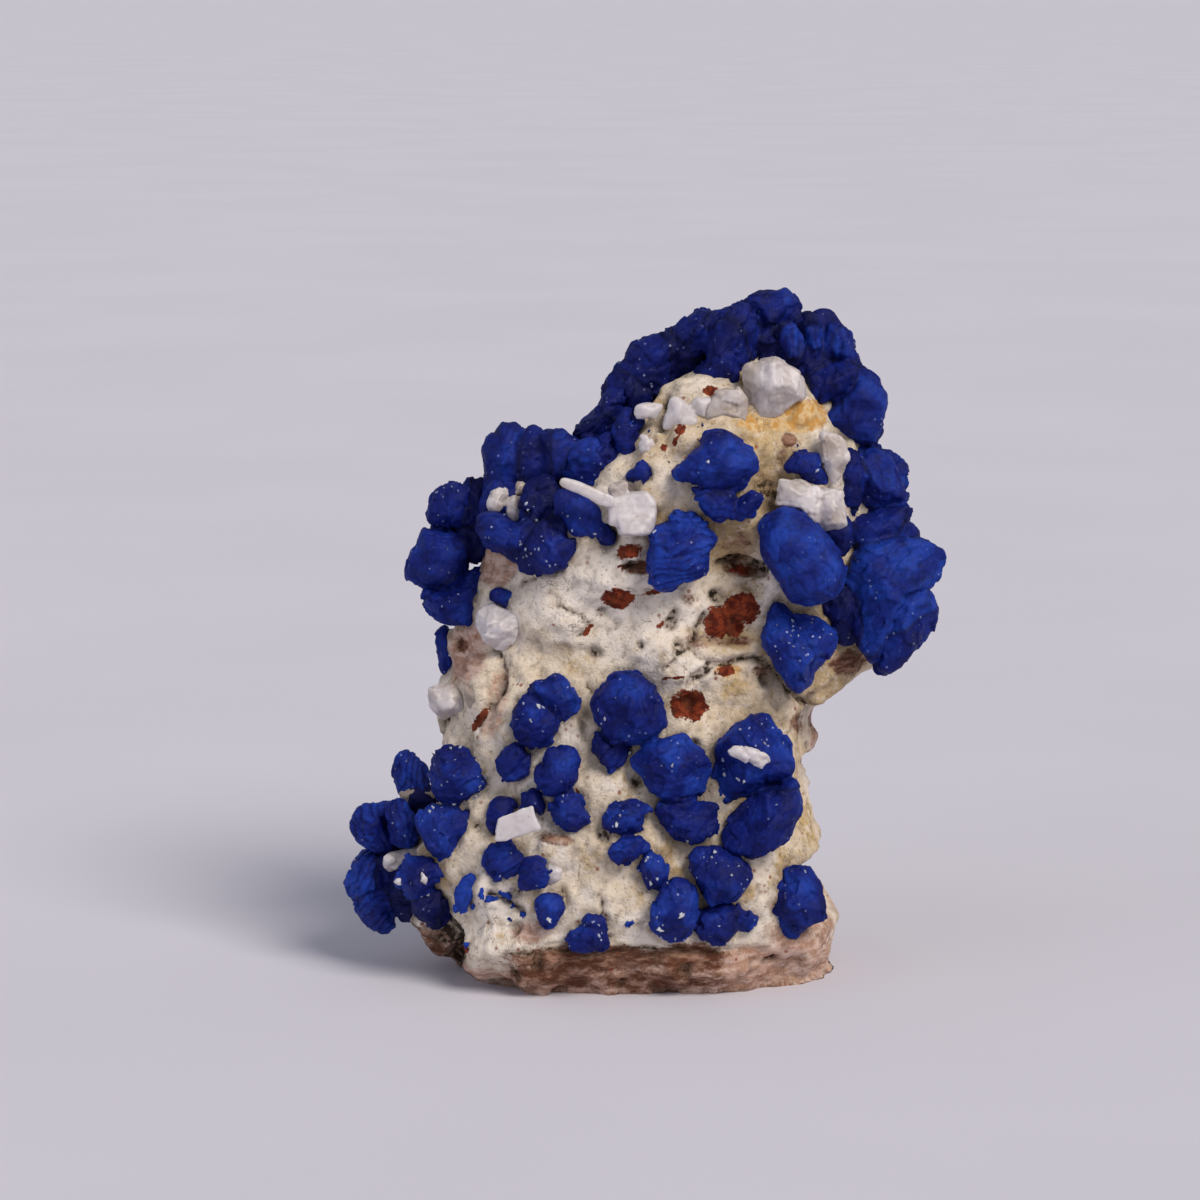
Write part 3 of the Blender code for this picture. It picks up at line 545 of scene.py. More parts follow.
@dataclass
class HostRock:
    """The broken piece of host rock that everything grows on."""

    node: str = "host_rock"
    lump: float = 0.5  # relief of lumps about 3 mm across
    crumble: float = 0.2  # relief of lumps about 1 mm across
    grain: float = 0.1  # relief of grains about 0.5 mm across
    granule: float = 0.3  # relief of rusty grains about 0.6 mm across
    pit_depth: float = 0.45
    waver: float = 0.22  # how far the edges of pits and cracks wander
    foot: float = 0.35  # below this height the rock is ground flat
    shade_reach: float = 0.8  # how far from a crystal the rock gets painted shade

    def build(self, finish: bpy.types.Material, crystals: BVHTree) -> BVHTree:
        """Builds the dressed rock around the CAD rock.

        Args:
            finish: the rock's material.
            crystals: the surface of what grows on it, in millimetres.

        Returns:
            The surface of its skin, in millimetres.
        """
        bm = remeshed(mesh_in_mm(self.node), ROCK_VOXEL)
        smoothed(bm, 3)
        bm.normal_update()
        hollows = self.roughen(bm)
        self.flatten_foot(bm)
        self.paint(bm, hollows, crystals)
        skin = BVHTree.FromBMesh(bm)
        finish_piece("host_rock_broken", bm, finish, "host_rock", [self.node])
        return skin

    def roughen(self, bm: bmesh.types.BMesh) -> list:
        """Moves every vertex by the relief, and returns how deep in a hollow each one is, from 0 to 1."""
        places, hollows = [], []
        for vert in bm.verts:
            place, normal = vert.co, vert.normal
            front = smooth_step(-normal.y, -0.1, 0.5) * smooth_step(-place.y, 0.0, 3.0)
            height, hollow = self.relief(place)
            height += smooth_step(abs(normal.x), 0.2, 0.7) * sum(part.swell(place.x, place.z) for part in SWELLS)
            if front > 0:
                drop, depth = self.front_features(place)
                height -= drop * front
                hollow = max(hollow, depth * smooth_step(-place.y, 0.0, 2.0))
            places.append(place + normal * height)
            hollows.append(hollow)
        for vert, place in zip(bm.verts, places):
            vert.co = place
        return hollows

    def relief(self, place: Vector) -> tuple[float, float]:
        """The relief that covers the whole rock: its height, and how deep in a pit the point is."""
        warp = Vector((noise.noise(place / 2.1), noise.noise(place / 2.1 + Vector((9, 2, 4))),
                       noise.noise(place / 2.1 + Vector((3, 8, 1))))) * 0.6
        lumps = noise.fractal((place + warp) / 3.4, 0.9, 2.1, 3)
        crumble = 0.5 - noise.voronoi((place + warp) / 1.25)[0][0]
        grains = 0.45 - noise.voronoi(place / 0.55)[0][0]
        pits = smooth_step(noise.noise(place / 1.5 + Vector((5, 5, 5))), 0.36, 0.62)
        height = self.lump * lumps + self.crumble * crumble + self.grain * grains - self.pit_depth * pits
        return height, max(pits, smooth_step(-grains, 0.12, 0.4) * 0.5)

    def front_features(self, place: Vector) -> tuple[float, float]:
        """The named hollows, knobs and cracks at a point: how far they go in, and how much dirt and painted shade they
        get.
        """
        x, z = in_sight(*place, FACE_Y)
        x += self.waver * noise.noise(place * 1.3)
        z += self.waver * noise.noise(place * 1.3 + Vector((4, 4, 4)))
        drop = dirt_and_shade = 0.0
        if any(spot.paint(x, z) > 0.4 for spot in SPOTS[Patch.RUST]):
            drop -= self.granule * (0.5 - noise.voronoi(place / 0.6)[0][0])
        for hollow in HOLLOWS:
            depth = hollow.swell(x, z)
            drop += depth
            dirt_and_shade = max(dirt_and_shade, smooth_step(depth, 0.1, 0.8))
        for crack in CRACKS:
            away = distance_to_line(x, z, crack.points) / crack.wide
            if away < 1.6:
                groove = 1 - smooth_step(away, 0.15, 1.5)
                drop += crack.depth * groove
                dirt_and_shade = max(dirt_and_shade, groove)
        return drop, dirt_and_shade

    def flatten_foot(self, bm: bmesh.types.BMesh) -> None:
        """Grinds the foot flat, so that the rock stands in its plane."""
        for vert in bm.verts:
            if vert.co.z < self.foot:
                vert.co.z = max(0.0, vert.co.z - self.foot) if vert.normal.z > -0.6 else 0.0

    def paint(self, bm: bmesh.types.BMesh, hollows: list, crystals: BVHTree) -> None:
        """Paints the patches, the dirt and painted shade of the hollows, and a painted shade round each crystal on the
        mesh, for the finish to read.
        """
        layers = {name: bm.verts.layers.float_color.new(name) for name in ("patch_warm", "patch_cool")}
        depth = bm.verts.layers.float.new("hollow")
        for vert, hollow in zip(bm.verts, hollows):
            place = vert.co
            values = {name: [0.0, 0.0, 0.0, 1.0] for name in layers}
            x, z = in_sight(*place, FACE_Y)
            front = 1 - smooth_step(place.y, -3.5, 2.0)
            for patch, spots in SPOTS.items():
                layer, channel = patch.value
                values[layer][channel] = front * max(spot.paint(x, z) for spot in spots)
            # Pink and earthy clouds on the sides and the back, and a pink band along the foot.
            sides = smooth_step(place.y, -3.0, 3.0)
            stain = smooth_step(noise.fractal(place / 6.5, 1.0, 2.0, 3), 0.12, 0.5)
            earth = smooth_step(noise.fractal(place / 5.0 + Vector((8, 3, 5)), 1.0, 2.0, 3), 0.2, 0.6)
            values["patch_warm"][2] = max(values["patch_warm"][2], 0.8 * sides * stain,
                                          smooth_step(-place.z, -2.8, -1.0) * 0.8)
            values["patch_cool"][2] = max(values["patch_cool"][2], 0.6 * sides * earth)
            for name, layer in layers.items():
                vert[layer] = values[name]
            # Painted shade round each crystal, where it shades the rock, and less of it up in the crown.
            near = crystals.find_nearest(place, self.shade_reach)[3]
            if near is not None:
                shade = 0.7 * (1 - smooth_step(near, 0.0, self.shade_reach))
                hollow = max(hollow, shade * (1 - 0.5 * smooth_step(z, 31, 35)))
            vert[depth] = hollow


# Crystals --------------------------------------------------------------------------------------


class Habit(Enum):
    """How a body shows its crystals: the number of flat faces, how near they cut, the relief of its grain,
    facets and layers, and how square its edge is."""

    VELVET = (6, 0.84, 0.035, 0.14, 0.012, 2.3)
    FACETED = (7, 0.66, 0.03, 0.2, 0.018, 2.4)
    ROUGH = (9, 0.76, 0.05, 0.28, 0.02, 2.3)
    PLATY = (6, 0.78, 0.035, 0.16, 0.11, 2.6)
    LUMP = (9, 0.72, 0.04, 0.16, 0.0, 3.0)
    CLEAVED = (3, 0.8, 0.012, 0.06, 0.015, 6.0)


@dataclass(frozen=True)
class Outline:
    """What the eye sees of a body's edge, given by points in a plane at depth y."""

    y: float
    points: tuple

    def at_depth(self, y: float) -> list:
        """The points (x, z) moved along the lines of sight to another depth."""
        return [in_sight(x, self.y, z, y) for x, z in self.points]


@dataclass(frozen=True)
class Growth:
    """One body of crystal: its middle and half sizes seen from the front.

    grain is the direction of its plates seen from the front, in degrees from level. Without a depth y it
    sits on what is behind (x, z), as seen from the front, or from the camera where seen is true. edge is
    its own outline, which goes before the half sizes. faces are its named flat faces: the direction each
    leans to, in degrees anticlockwise from the right, how far it leans, and how near the middle it cuts.
    """

    x: float
    z: float
    wide: float
    high: float
    grain: float = 0.0
    y: Optional[float] = None
    habit: Habit = Habit.ROUGH
    turn: float = 0.0
    edge: Optional[Outline] = None
    faces: tuple = ()
    # tone: how light it is painted, from 0 to 1; partly its own colour, partly painted light and shade, low for bodies
    # in shade
    tone: float = 0.5
    glitter: float = 0.35
    seen: bool = False

    SEAT = 0.42  # the part of its half depth by which its middle stands off what carries it
    DEPTH_SHARE = 0.92  # its depth against its width and height
    CORNERS = 24  # the points of an edge that is worked out from its half sizes

    @property
    def half(self) -> Vector:
        """Half of its width, depth and height."""
        return Vector((self.wide, min(self.wide, self.high) * self.DEPTH_SHARE, self.high))

    @property
    def seed(self) -> float:
        """A number that no other body has."""
        return self.x * 3.1 + self.z * 1.7

    def depth(self, carrier: BVHTree) -> float:
        """The depth of its middle: as given, or off the surface of its carrier by its share."""
        if self.y is not None:
            return self.y
        start, way = Vector((self.x, -FAR_OFF, self.z)), Vector((0, 1, 0))
        if self.seen:
            start, way = EYE, (Vector((self.x, self.edge.y, self.z)) - EYE).normalized()
        return carrier.ray_cast(start, way)[0].y - self.SEAT * self.half.y

    def facing(self) -> Matrix:
        """The turn that brings +Z to the axis of its stack of plates."""
        grain = math.radians(self.grain)
        axis = Vector((-math.sin(grain), -0.22, math.cos(grain))).normalized()
        return axis.to_track_quat("Z", "Y").to_matrix()

    def rim(self, y: float) -> tuple[Vector, list]:
        """The edge seen from the front, for a middle at depth y.

        Returns:
            The middle of the edge, and its reach in STEPS directions, anticlockwise from the right.
        """
        if self.edge:
            points = self.edge.at_depth(y)
        else:
            turn, points = math.radians(self.turn), []
            for number in range(self.CORNERS):
                angle = math.tau * number / self.CORNERS
                swell = 1 + 0.05 * math.cos(3 * angle + self.seed) + 0.03 * math.cos(5 * angle + 2 * self.seed)
                x, z = self.wide * swell * math.cos(angle), self.high * swell * math.sin(angle)
                points.append((self.x + x * math.cos(turn) - z * math.sin(turn),
                               self.z + z * math.cos(turn) + x * math.sin(turn)))
        middle = Vector((sum(x for x, _ in points), 0, sum(z for _, z in points))) / len(points)
        reach = []
        for number in range(STEPS):
            angle = math.tau * number / STEPS
            dx, dz = math.cos(angle), math.sin(angle)
            far = 0.0
            for (ax, az), (bx, bz) in zip(points, points[1:] + points[:1]):
                ax, az, bx, bz = ax - middle.x, az - middle.z, bx - middle.x, bz - middle.z
                cross = dx * (bz - az) - dz * (bx - ax)
                if abs(cross) > 1e-9:
                    share = (ax * dz - az * dx) / cross
                    away = (ax * (bz - az) - az * (bx - ax)) / cross
                    if -1e-6 <= share <= 1 + 1e-6 and away > far:
                        far = away
            reach.append(far)
        return Vector((middle.x, y, middle.z)), reach

    def flat_faces(self) -> list:
        """Its flat faces on a body of unit size: normals, with y counted to the front, and their reach."""
        count, near = self.habit.value[:2]
        named = list(self.faces)
        for number in range(count // 3 if named else count):
            named.append((360 * (number * 0.382 + pseudo(self.seed)), 14 + 50 * pseudo(self.seed, number, 1),
                          near + (0.97 - near) * pseudo(self.seed, number, 2)))
        faces = []
        for angle, lean, reach in named:
            angle, lean = math.radians(angle), math.radians(lean)
            normal = Vector((math.cos(angle) * math.sin(lean), math.cos(lean), math.sin(angle) * math.sin(lean)))
            faces.append((normal, reach))
        return faces

    def add_to(self, bm: bmesh.types.BMesh, centre: Vector, reach: list, fineness: int = 5) -> None:
        """Adds its body: a dome to the front and the back on its outline, cut by its flat faces."""
        faces, depth, square = self.flat_faces(), self.half.y, self.habit.value[5]
        for vert in bmesh.ops.create_icosphere(bm, subdivisions=fineness, radius=1.0)["verts"]:
            place = vert.co.copy()
            rise = (1 - min(math.hypot(place.x, place.z), 1.0) ** square) ** 0.5
            if place.y < 0:
                for normal, near in faces:
                    rise = min(rise, (near - normal.x * place.x - normal.z * place.z) / normal.y)
            rise *= 1 + 0.08 * noise.noise(place * 1.7 + Vector((self.seed, 0, 0)))
            step = math.atan2(place.z, place.x) / math.tau * STEPS
            low = math.floor(step)
            far = reach[low % STEPS] + (reach[(low + 1) % STEPS] - reach[low % STEPS]) * (step - low)
            out = Vector((place.x, 0, place.z)) * far
            vert.co = centre + out + Vector((0, math.copysign(max(rise, 0.0) * depth, place.y), 0))


@dataclass(frozen=True)
class Mineral:
    """What a piece is of: the end of its name, its material slot and its finish."""

    suffix: str
    slot: str
    finish: bpy.types.Material


@dataclass
class Cluster:
    """Bodies of crystal that have grown into one piece."""

    node: str
    growths: list

    CREASE = 0.14  # how wide the painted shade in the groove between two bodies is, against their size
    FACET = 1.15  # how wide a small face is
    FACET_HIGH = 0.8  # how high it is along the stack of plates
    PLATE = 0.5  # how far apart the layers of plates are
    CRYSTAL = 0.42  # how wide the finest crystals are

    def build(self, carrier: BVHTree, mineral: Mineral, bodies: Optional[bmesh.types.BMesh] = None) -> BVHTree:
        """Builds the cluster: bodies with flat faces and outlines of their own, under a skin of fine plates.

        Args:
            carrier: the surface in millimetres that its bodies sit on.
            mineral: what it is of.
            bodies: a mesh that gets a plain copy of the bodies.

        Returns:
            The surface of its skin, in millimetres.
        """
        bm = bmesh.new()
        placed = []
        for growth in self.growths:
            centre, reach = growth.rim(growth.depth(carrier))
            growth.add_to(bm, centre, reach)
            if bodies:
                growth.add_to(bodies, centre, reach, 3)
            placed.append((growth, centre, sum(reach) / STEPS, growth.facing().transposed()))
        area = sum(4 * math.pi * mean * mean for _, _, mean, _ in placed)
        bm = remeshed(bm, max(CRYSTAL_VOXEL, math.sqrt(area * 0.95 / FACE_BUDGET)))
        smoothed(bm, 1)
        bm.normal_update()
        self.grow_skin(bm, placed)
        skin = BVHTree.FromBMesh(bm)
        nodes = [self.node] if self.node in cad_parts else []
        name = self.node + mineral.suffix if nodes else self.node
        finish_piece(name, bm, mineral.finish, mineral.slot, nodes)
        return skin

    def grow_skin(self, bm: bmesh.types.BMesh, placed: list) -> None:
        """Gives the skin its small faces and plates, and paints tone, painted shade in the grooves and glitter for the
        finish.
        """
        paint = bm.verts.layers.float_color.new("skin")
        moved = []
        for vert in bm.verts:
            place = vert.co
            ranks = sorted(((place - body[1]).length / body[2], number) for number, body in enumerate(placed))
            growth, centre, _, inward = placed[ranks[0][1]]
            crease = 1 - smooth_step(ranks[1][0] - ranks[0][0], 0.0, self.CREASE) if len(ranks) > 1 else 0.0
            _, _, grain, facet, layer, _ = growth.habit.value
            local = inward @ (place - centre)
            local.z += 0.35 * noise.noise(local * 0.5 + Vector((growth.seed, 0, 0)))
            seat = Vector((local.x / self.FACET, local.y / self.FACET, local.z / self.FACET_HIGH + growth.seed))
            middle = noise.voronoi(seat)[1][0]
            shade = pseudo(middle.x, middle.y, middle.z)
            tilt = Vector((shade - 0.5, pseudo(middle.x, middle.z) - 0.5, pseudo(middle.z, shade) - 0.5))
            fine = noise.voronoi(Vector((local.x, local.y, local.z * 1.5 + growth.seed)) / self.CRYSTAL)[0][0]
            plates = 1 - ((local.z / self.PLATE + growth.seed + 0.9 * noise.noise(place * 0.9)) % 1) ** 2
            layer *= 1 + noise.noise(place * 0.7 + Vector((growth.seed, 5, 0)))
            height = facet * clamp((seat - middle).dot(tilt) * 2, -0.6, 0.6)
            height += grain * (0.8 - 2 * fine) + layer * (plates - 0.5)
            height += 0.07 * noise.noise(place * 0.8 + Vector((0, growth.seed, 0))) + 0.02 * noise.noise(place * 4)
            moved.append(place + vert.normal * height)
            tone = growth.tone + 0.4 * noise.noise(place * 0.6) + 0.22 * (shade - 0.5) + 3 * layer * (plates - 0.5)
            # Red: tone; green: painted shade in the groove between two bodies and between the finest crystals; blue:
            # glitter.
            vert[paint] = (clamp(tone), max(0.7 * crease, 0.45 * smooth_step(fine, 0.5, 0.9)), growth.glitter, 1)
        for vert, place in zip(bm.verts, moved):
            vert.co = place


# Short names for the rows below: velvet, faceted, rough, platy, lump and cleaved.
V, F, R, P, L, C = Habit

# Bodies with a tone near 0 are painted in shade: dark bodies that fill gaps deep in the clusters, where shade falls.
AZURITES = [
    Cluster("azurite_crown_left", [
        Growth(-1.9, 37.9, 2.4, 2.3, 45, -2.4, R, tone=0.35, glitter=0.7, edge=Outline(-5, (
            (-0.9, 39.9), (-1.8, 40.0), (-2.3, 39.4), (-2.7, 38.8), (-3.3, 38.0), (-3.9, 37.5), (-4.4, 36.8),
            (-3.6, 36.3), (-2.9, 36.0), (-2.1, 36.0), (-1.7, 37.2), (-1.1, 38.5)))),
        Growth(-1.2, 37.2, 1.7, 2.4, 80, -5.0, R, tone=0.5, edge=Outline(-5, (
            (-1.0, 38.6), (-0.5, 38.5), (-0.4, 37.9), (0.3, 37.6), (0.0, 36.9), (-0.2, 36.0), (-0.1, 35.4),
            (-0.4, 35.1), (-1.0, 34.9), (-1.4, 35.2), (-1.9, 36.0), (-2.0, 36.8), (-1.7, 37.4), (-1.4, 38.1)))),
        Growth(-3.2, 35.0, 1.5, 1.6, 0, -5.2, F, tone=0.6),
        Growth(-2.3, 36.4, 1.9, 1.6, 45, -2.6, R, tone=0.1),
    ]),
    Cluster("azurite_arch", [
        Growth(0.7, 40.9, 2.5, 2.2, 40, -1.2, R, tone=0.3, glitter=0.8, edge=Outline(-3, (
            (-1.6, 40.3), (-1.2, 41.0), (-0.9, 41.6), (-0.9, 42.1), (-0.5, 42.6), (0.2, 42.9), (1.0, 43.2), (1.9, 43.4),
            (2.5, 43.6), (2.8, 42.2), (2.7, 40.8), (2.0, 39.2), (1.4, 38.7), (0.0, 38.6), (-0.8, 39.0), (-1.4, 39.7)))),
        Growth(3.5, 42.3, 2.6, 2.4, 35, -0.8, R, tone=0.3, edge=Outline(-3, (
            (2.2, 43.6), (2.7, 44.1), (3.4, 44.5), (3.8, 44.9), (4.6, 45.0), (4.9, 44.7), (5.2, 44.6), (5.0, 43.5),
            (4.5, 42.5), (4.1, 41.5), (3.0, 41.2), (2.0, 41.4), (1.6, 42.5)))),
        Growth(4.9, 41.1, 1.9, 1.9, 60, -3.4, R, tone=0.35, edge=Outline(-3, (
            (3.4, 40.3), (3.8, 40.9), (4.3, 41.4), (4.6, 42.4), (5.0, 43.8), (5.5, 44.3), (5.8, 44.9), (6.8, 45.4),
            (7.4, 45.0), (7.6, 43.5), (7.4, 41.6), (6.7, 41.0), (6.8, 39.8), (5.3, 39.7), (4.2, 39.2), (3.5, 39.3),
            (3.3, 39.8)))),
        Growth(8.7, 43.9, 3.0, 2.3, 20, -1.2, F, tone=0.35, edge=Outline(-3, (
            (6.6, 45.3), (7.3, 45.8), (7.8, 46.0), (9.2, 46.1), (9.6, 46.2), (10.0, 46.0), (10.3, 45.6), (10.6, 45.0),
            (10.5, 44.3), (9.2, 44.0), (9.0, 43.0), (9.1, 42.0), (8.3, 41.8), (7.6, 41.4), (7.0, 41.5)))),
        Growth(6.4, 42.6, 2.3, 2.2, 85, -2.0, R, tone=0.3),
        Growth(10.3, 42.7, 0.7, 1.7, 100, -3.5, P, tone=0.6, faces=((180, 30, 0.6), (20, 40, 0.5)), edge=Outline(-3, (
            (9.1, 44.0), (9.6, 44.1), (10.2, 43.9), (10.8, 43.2), (10.9, 42.3), (10.8, 41.2), (10.4, 41.1),
            (9.9, 41.5), (9.5, 42.2), (9.1, 43.0)))),
        Growth(11.3, 42.9, 0.9, 1.9, 95, -3.1, P, tone=0.65, faces=((200, 35, 0.6), (10, 30, 0.6)), edge=Outline(-3, (
            (10.6, 44.6), (11.2, 44.7), (11.9, 44.3), (12.0, 43.4), (11.9, 42.2), (11.7, 41.1), (11.3, 40.9),
            (11.0, 41.6), (11.0, 43.2)))),
        Growth(13.2, 42.6, 1.1, 1.4, 105, -2.5, P, tone=0.55, edge=Outline(-3, (
            (12.3, 43.9), (13.2, 43.9), (13.9, 43.4), (14.1, 42.6), (14.3, 41.6), (14.2, 41.1), (13.3, 41.5),
            (12.2, 41.9), (12.1, 43.0)))),
        Growth(12.0, 42.3, 1.9, 2.3, 95, -1.6, F, tone=0.3),
        Growth(12.7, 40.2, 1.8, 1.5, 95, -3.4, F, tone=0.4, edge=Outline(-3, (
            (10.9, 40.9), (12.0, 41.2), (13.5, 41.4), (14.4, 41.0), (14.5, 40.0), (14.3, 39.3), (13.0, 39.1),
            (12.3, 38.7), (11.4, 38.6), (11.0, 39.2)))),
        Growth(13.2, 40.9, 1.5, 2.2, 95, -1.2, R, tone=0.3),
        Growth(14.0, 38.8, 2.4, 2.6, 15, -2.6, V, tone=0.6, edge=Outline(-3, (
            (14.3, 41.2), (15.0, 41.0), (15.5, 40.6), (15.9, 40.2), (16.0, 39.7), (16.3, 39.3), (16.4, 38.7),
            (16.2, 38.0), (16.1, 37.2), (15.9, 36.6), (15.6, 36.0), (15.2, 35.8), (13.8, 36.2), (12.9, 36.7),
            (12.0, 37.0), (11.7, 37.2), (12.0, 38.0), (12.6, 38.7), (13.0, 39.3), (13.8, 40.5)))),
        Growth(15.4, 34.0, 2.5, 2.9, -30, -3.0, F, tone=0.55, edge=Outline(-4, (
            (14.0, 35.6), (15.6, 35.8), (16.5, 35.2), (16.9, 34.4), (17.1, 33.8), (17.5, 33.1), (17.8, 32.5),
            (17.8, 32.2), (16.5, 31.7), (15.0, 31.4), (14.2, 31.6), (13.7, 32.3), (13.6, 33.0), (12.9, 33.4),
            (13.2, 34.2), (13.9, 35.6)))),
        Growth(15.2, 31.0, 2.6, 2.0, 5, -3.8, V, tone=0.45, edge=Outline(-4, (
            (13.6, 31.1), (14.6, 31.4), (16.0, 31.7), (17.8, 32.2), (17.9, 31.5), (17.7, 30.8), (17.4, 30.0),
            (17.0, 29.6), (15.2, 29.0), (13.9, 28.8), (13.2, 29.3), (13.0, 30.2)))),
        Growth(16.4, 26.8, 3.2, 3.6, 20, -5.0, F, tone=0.75, edge=Outline(-4, (
            (13.6, 26.4), (13.7, 27.6), (14.0, 28.7), (14.8, 29.6), (16.5, 29.9), (18.3, 29.8), (19.3, 29.5),
            (19.7, 29.1), (20.1, 29.0), (20.4, 28.4), (20.0, 27.3), (19.4, 26.4), (18.0, 26.2), (16.9, 24.9),
            (16.3, 23.5), (15.8, 21.8), (15.3, 21.3), (14.7, 22.2), (14.2, 23.4), (13.9, 24.9)))),
        Growth(17.4, 23.8, 2.7, 2.9, -60, -4.0, F, tone=0.4, edge=Outline(-4, (
            (16.2, 26.0), (18.0, 26.8), (19.2, 26.4), (19.7, 25.5), (19.8, 24.8), (19.5, 23.6), (18.9, 22.7),
            (18.0, 22.0), (17.4, 21.2), (16.3, 20.6), (15.5, 20.8), (15.4, 22.5)))),
        Growth(-0.7, 39.4, 1.7, 1.9, 40, -1.6, R, tone=0.15),
        Growth(2.4, 41.4, 2.4, 1.9, 35, -0.4, R, tone=0.05),
        Growth(8.9, 42.3, 2.3, 1.9, 20, -1.8, R, tone=0.1),
        Growth(11.2, 41.6, 2.4, 2.4, 85, -1.6, R, tone=0.15),
        Growth(10.9, 43.2, 1.2, 1.3, 90, -1.8, R, tone=0.3),
        Growth(13.8, 33.6, 1.0, 2.4, 85, -4.6, R, tone=0.3),
        Growth(13.4, 25.2, 1.4, 2.6, 80, -4.8, R, tone=0.05),
        Growth(12.9, 30.4, 1.1, 1.5, 60, -6.3, R, tone=0.15),
        Growth(14.3, 36.4, 1.7, 1.9, -20, -1.8, R, tone=0.3),
        Growth(14.8, 31.8, 2.2, 2.6, 5, -1.8, R, tone=0.3),
        Growth(16.2, 29.4, 2.2, 2.2, 5, -3.0, R, tone=0.3),
        Growth(6.0, 42.8, 2.3, 2.0, 30, 1.8, R),
        Growth(12.4, 40.7, 2.1, 2.3, -20, 1.0, R),
        Growth(15.9, 33.0, 2.1, 2.5, 20, 0.4, R),
        Growth(16.6, 26.4, 2.2, 2.4, 60, -0.6, R),
    ]),
    Cluster("azurite_oval", [Growth(10.7, 29.4, 2.9, 3.4, -60, None, V, tone=0.7, edge=Outline(-9, (
        (8.0, 31.9), (8.7, 32.4), (9.4, 32.6), (10.2, 32.4), (10.9, 31.9), (11.7, 31.2), (12.4, 30.4), (13.0, 29.6),
        (13.4, 28.7), (13.4, 28.0), (13.2, 27.2), (12.6, 26.6), (11.8, 26.2), (10.8, 26.0), (9.8, 26.4), (9.4, 26.9),
        (9.1, 27.6), (8.6, 28.2), (8.1, 28.9), (7.8, 29.8), (7.7, 30.6), (7.6, 31.3))))]),
    Cluster("azurite_glinting", [Growth(10.5, 23.4, 2.6, 3.1, -70, None, F, tone=0.65, glitter=1.0, edge=Outline(-9, (
        (8.6, 26.2), (9.0, 26.3), (9.4, 26.2), (9.6, 25.8), (10.0, 25.5), (10.6, 25.6), (11.1, 25.5), (11.8, 25.2),
        (12.3, 24.8), (12.7, 24.4), (12.9, 24.1), (12.9, 23.6), (12.6, 23.1), (12.3, 22.8), (11.9, 22.2), (11.5, 21.9),
        (11.3, 21.3), (11.1, 20.8), (10.8, 20.5), (10.4, 20.3), (9.9, 20.4), (9.5, 20.8), (9.2, 21.4), (8.9, 21.8),
        (8.7, 22.2), (8.4, 22.8), (8.0, 23.4), (7.9, 24.0), (8.1, 24.8), (8.3, 25.4))))]),
    Cluster("azurite_upper_lens", [
        Growth(4.8, 35.8, 2.8, 2.1, 10, None, F, tone=0.6, edge=Outline(-9, (
            (4.2, 37.4), (5.2, 37.6), (5.9, 37.3), (6.7, 36.7), (7.4, 36.3), (7.7, 35.7), (7.6, 35.0), (7.1, 34.3),
            (6.9, 33.9), (6.4, 33.4), (5.9, 33.5), (4.8, 33.8), (3.4, 34.1), (2.4, 34.4), (2.0, 34.8), (2.3, 35.2),
            (3.1, 36.0), (3.8, 36.6)))),
        Growth(5.3, 33.4, 1.9, 1.2, -10, None, P, edge=Outline(-9, (
            (3.3, 33.8), (4.2, 33.8), (6.2, 33.6), (6.2, 32.5), (5.9, 31.8), (5.1, 31.5), (4.5, 31.9), (3.8, 32.6)))),
        Growth(7.1, 33.3, 1.0, 1.1, 45, None, F, edge=Outline(-9, (
            (6.3, 33.0), (6.8, 33.4), (7.2, 33.7), (7.9, 33.4), (7.8, 32.6), (7.4, 31.8), (6.5, 31.6), (5.9, 31.9)))),
    ]),
    Cluster("azurite_book", [Growth(2.7, 30.0, 2.3, 2.7, 8, None, P, tone=0.65, edge=Outline(-9, (
        (0.6, 31.1), (1.3, 31.3), (1.8, 31.5), (2.0, 32.1), (2.4, 32.4), (2.9, 32.1), (3.3, 32.2), (3.9, 31.9),
        (4.4, 31.4), (4.8, 30.8), (5.0, 30.4), (4.6, 29.7), (4.4, 29.0), (4.4, 28.4), (4.0, 28.0), (3.3, 27.8),
        (2.5, 27.4), (1.9, 27.1), (1.0, 27.1), (0.6, 27.6), (0.5, 28.5), (0.5, 29.3), (0.6, 30.2), (0.5, 30.7))))]),
    Cluster("azurite_upper_bead", [Growth(-0.1, 34.7, 1.1, 1.1, 60, edge=Outline(-5, (
        (-0.3, 35.0), (0.3, 35.2), (0.9, 34.6), (1.0, 34.2), (0.8, 33.8), (0.3, 33.4), (-0.2, 33.4), (-0.9, 33.8),
        (-0.9, 34.1), (-0.4, 34.6))))]),
    Cluster("azurite_upper_right_bead", [Growth(10.6, 35.1, 1.3, 1.1, 10, None, F, edge=Outline(-9, (
        (9.5, 35.6), (9.9, 36.2), (11.5, 36.2), (11.7, 35.4), (12.1, 34.6), (12.1, 34.0), (11.4, 34.0), (10.6, 34.2),
        (10.3, 34.6), (9.5, 34.8), (9.3, 35.1))))]),
    Cluster("azurite_shoulder_top", [
        Growth(-8.6, 34.4, 2.1, 2.7, 70, -1.8, V, glitter=0.6, edge=Outline(-7, (
            (-10.3, 36.1), (-10.1, 36.8), (-9.4, 37.2), (-9.0, 37.8), (-8.1, 37.8), (-7.3, 37.3), (-6.8, 37.1),
            (-6.8, 35.5), (-6.6, 34.2), (-6.4, 33.0), (-6.6, 32.0), (-8.5, 31.9), (-10.2, 32.0), (-10.2, 33.5),
            (-10.1, 35.0)))),
        Growth(-5.6, 34.4, 2.2, 2.2, 20, -3.0, V, edge=Outline(-7, (
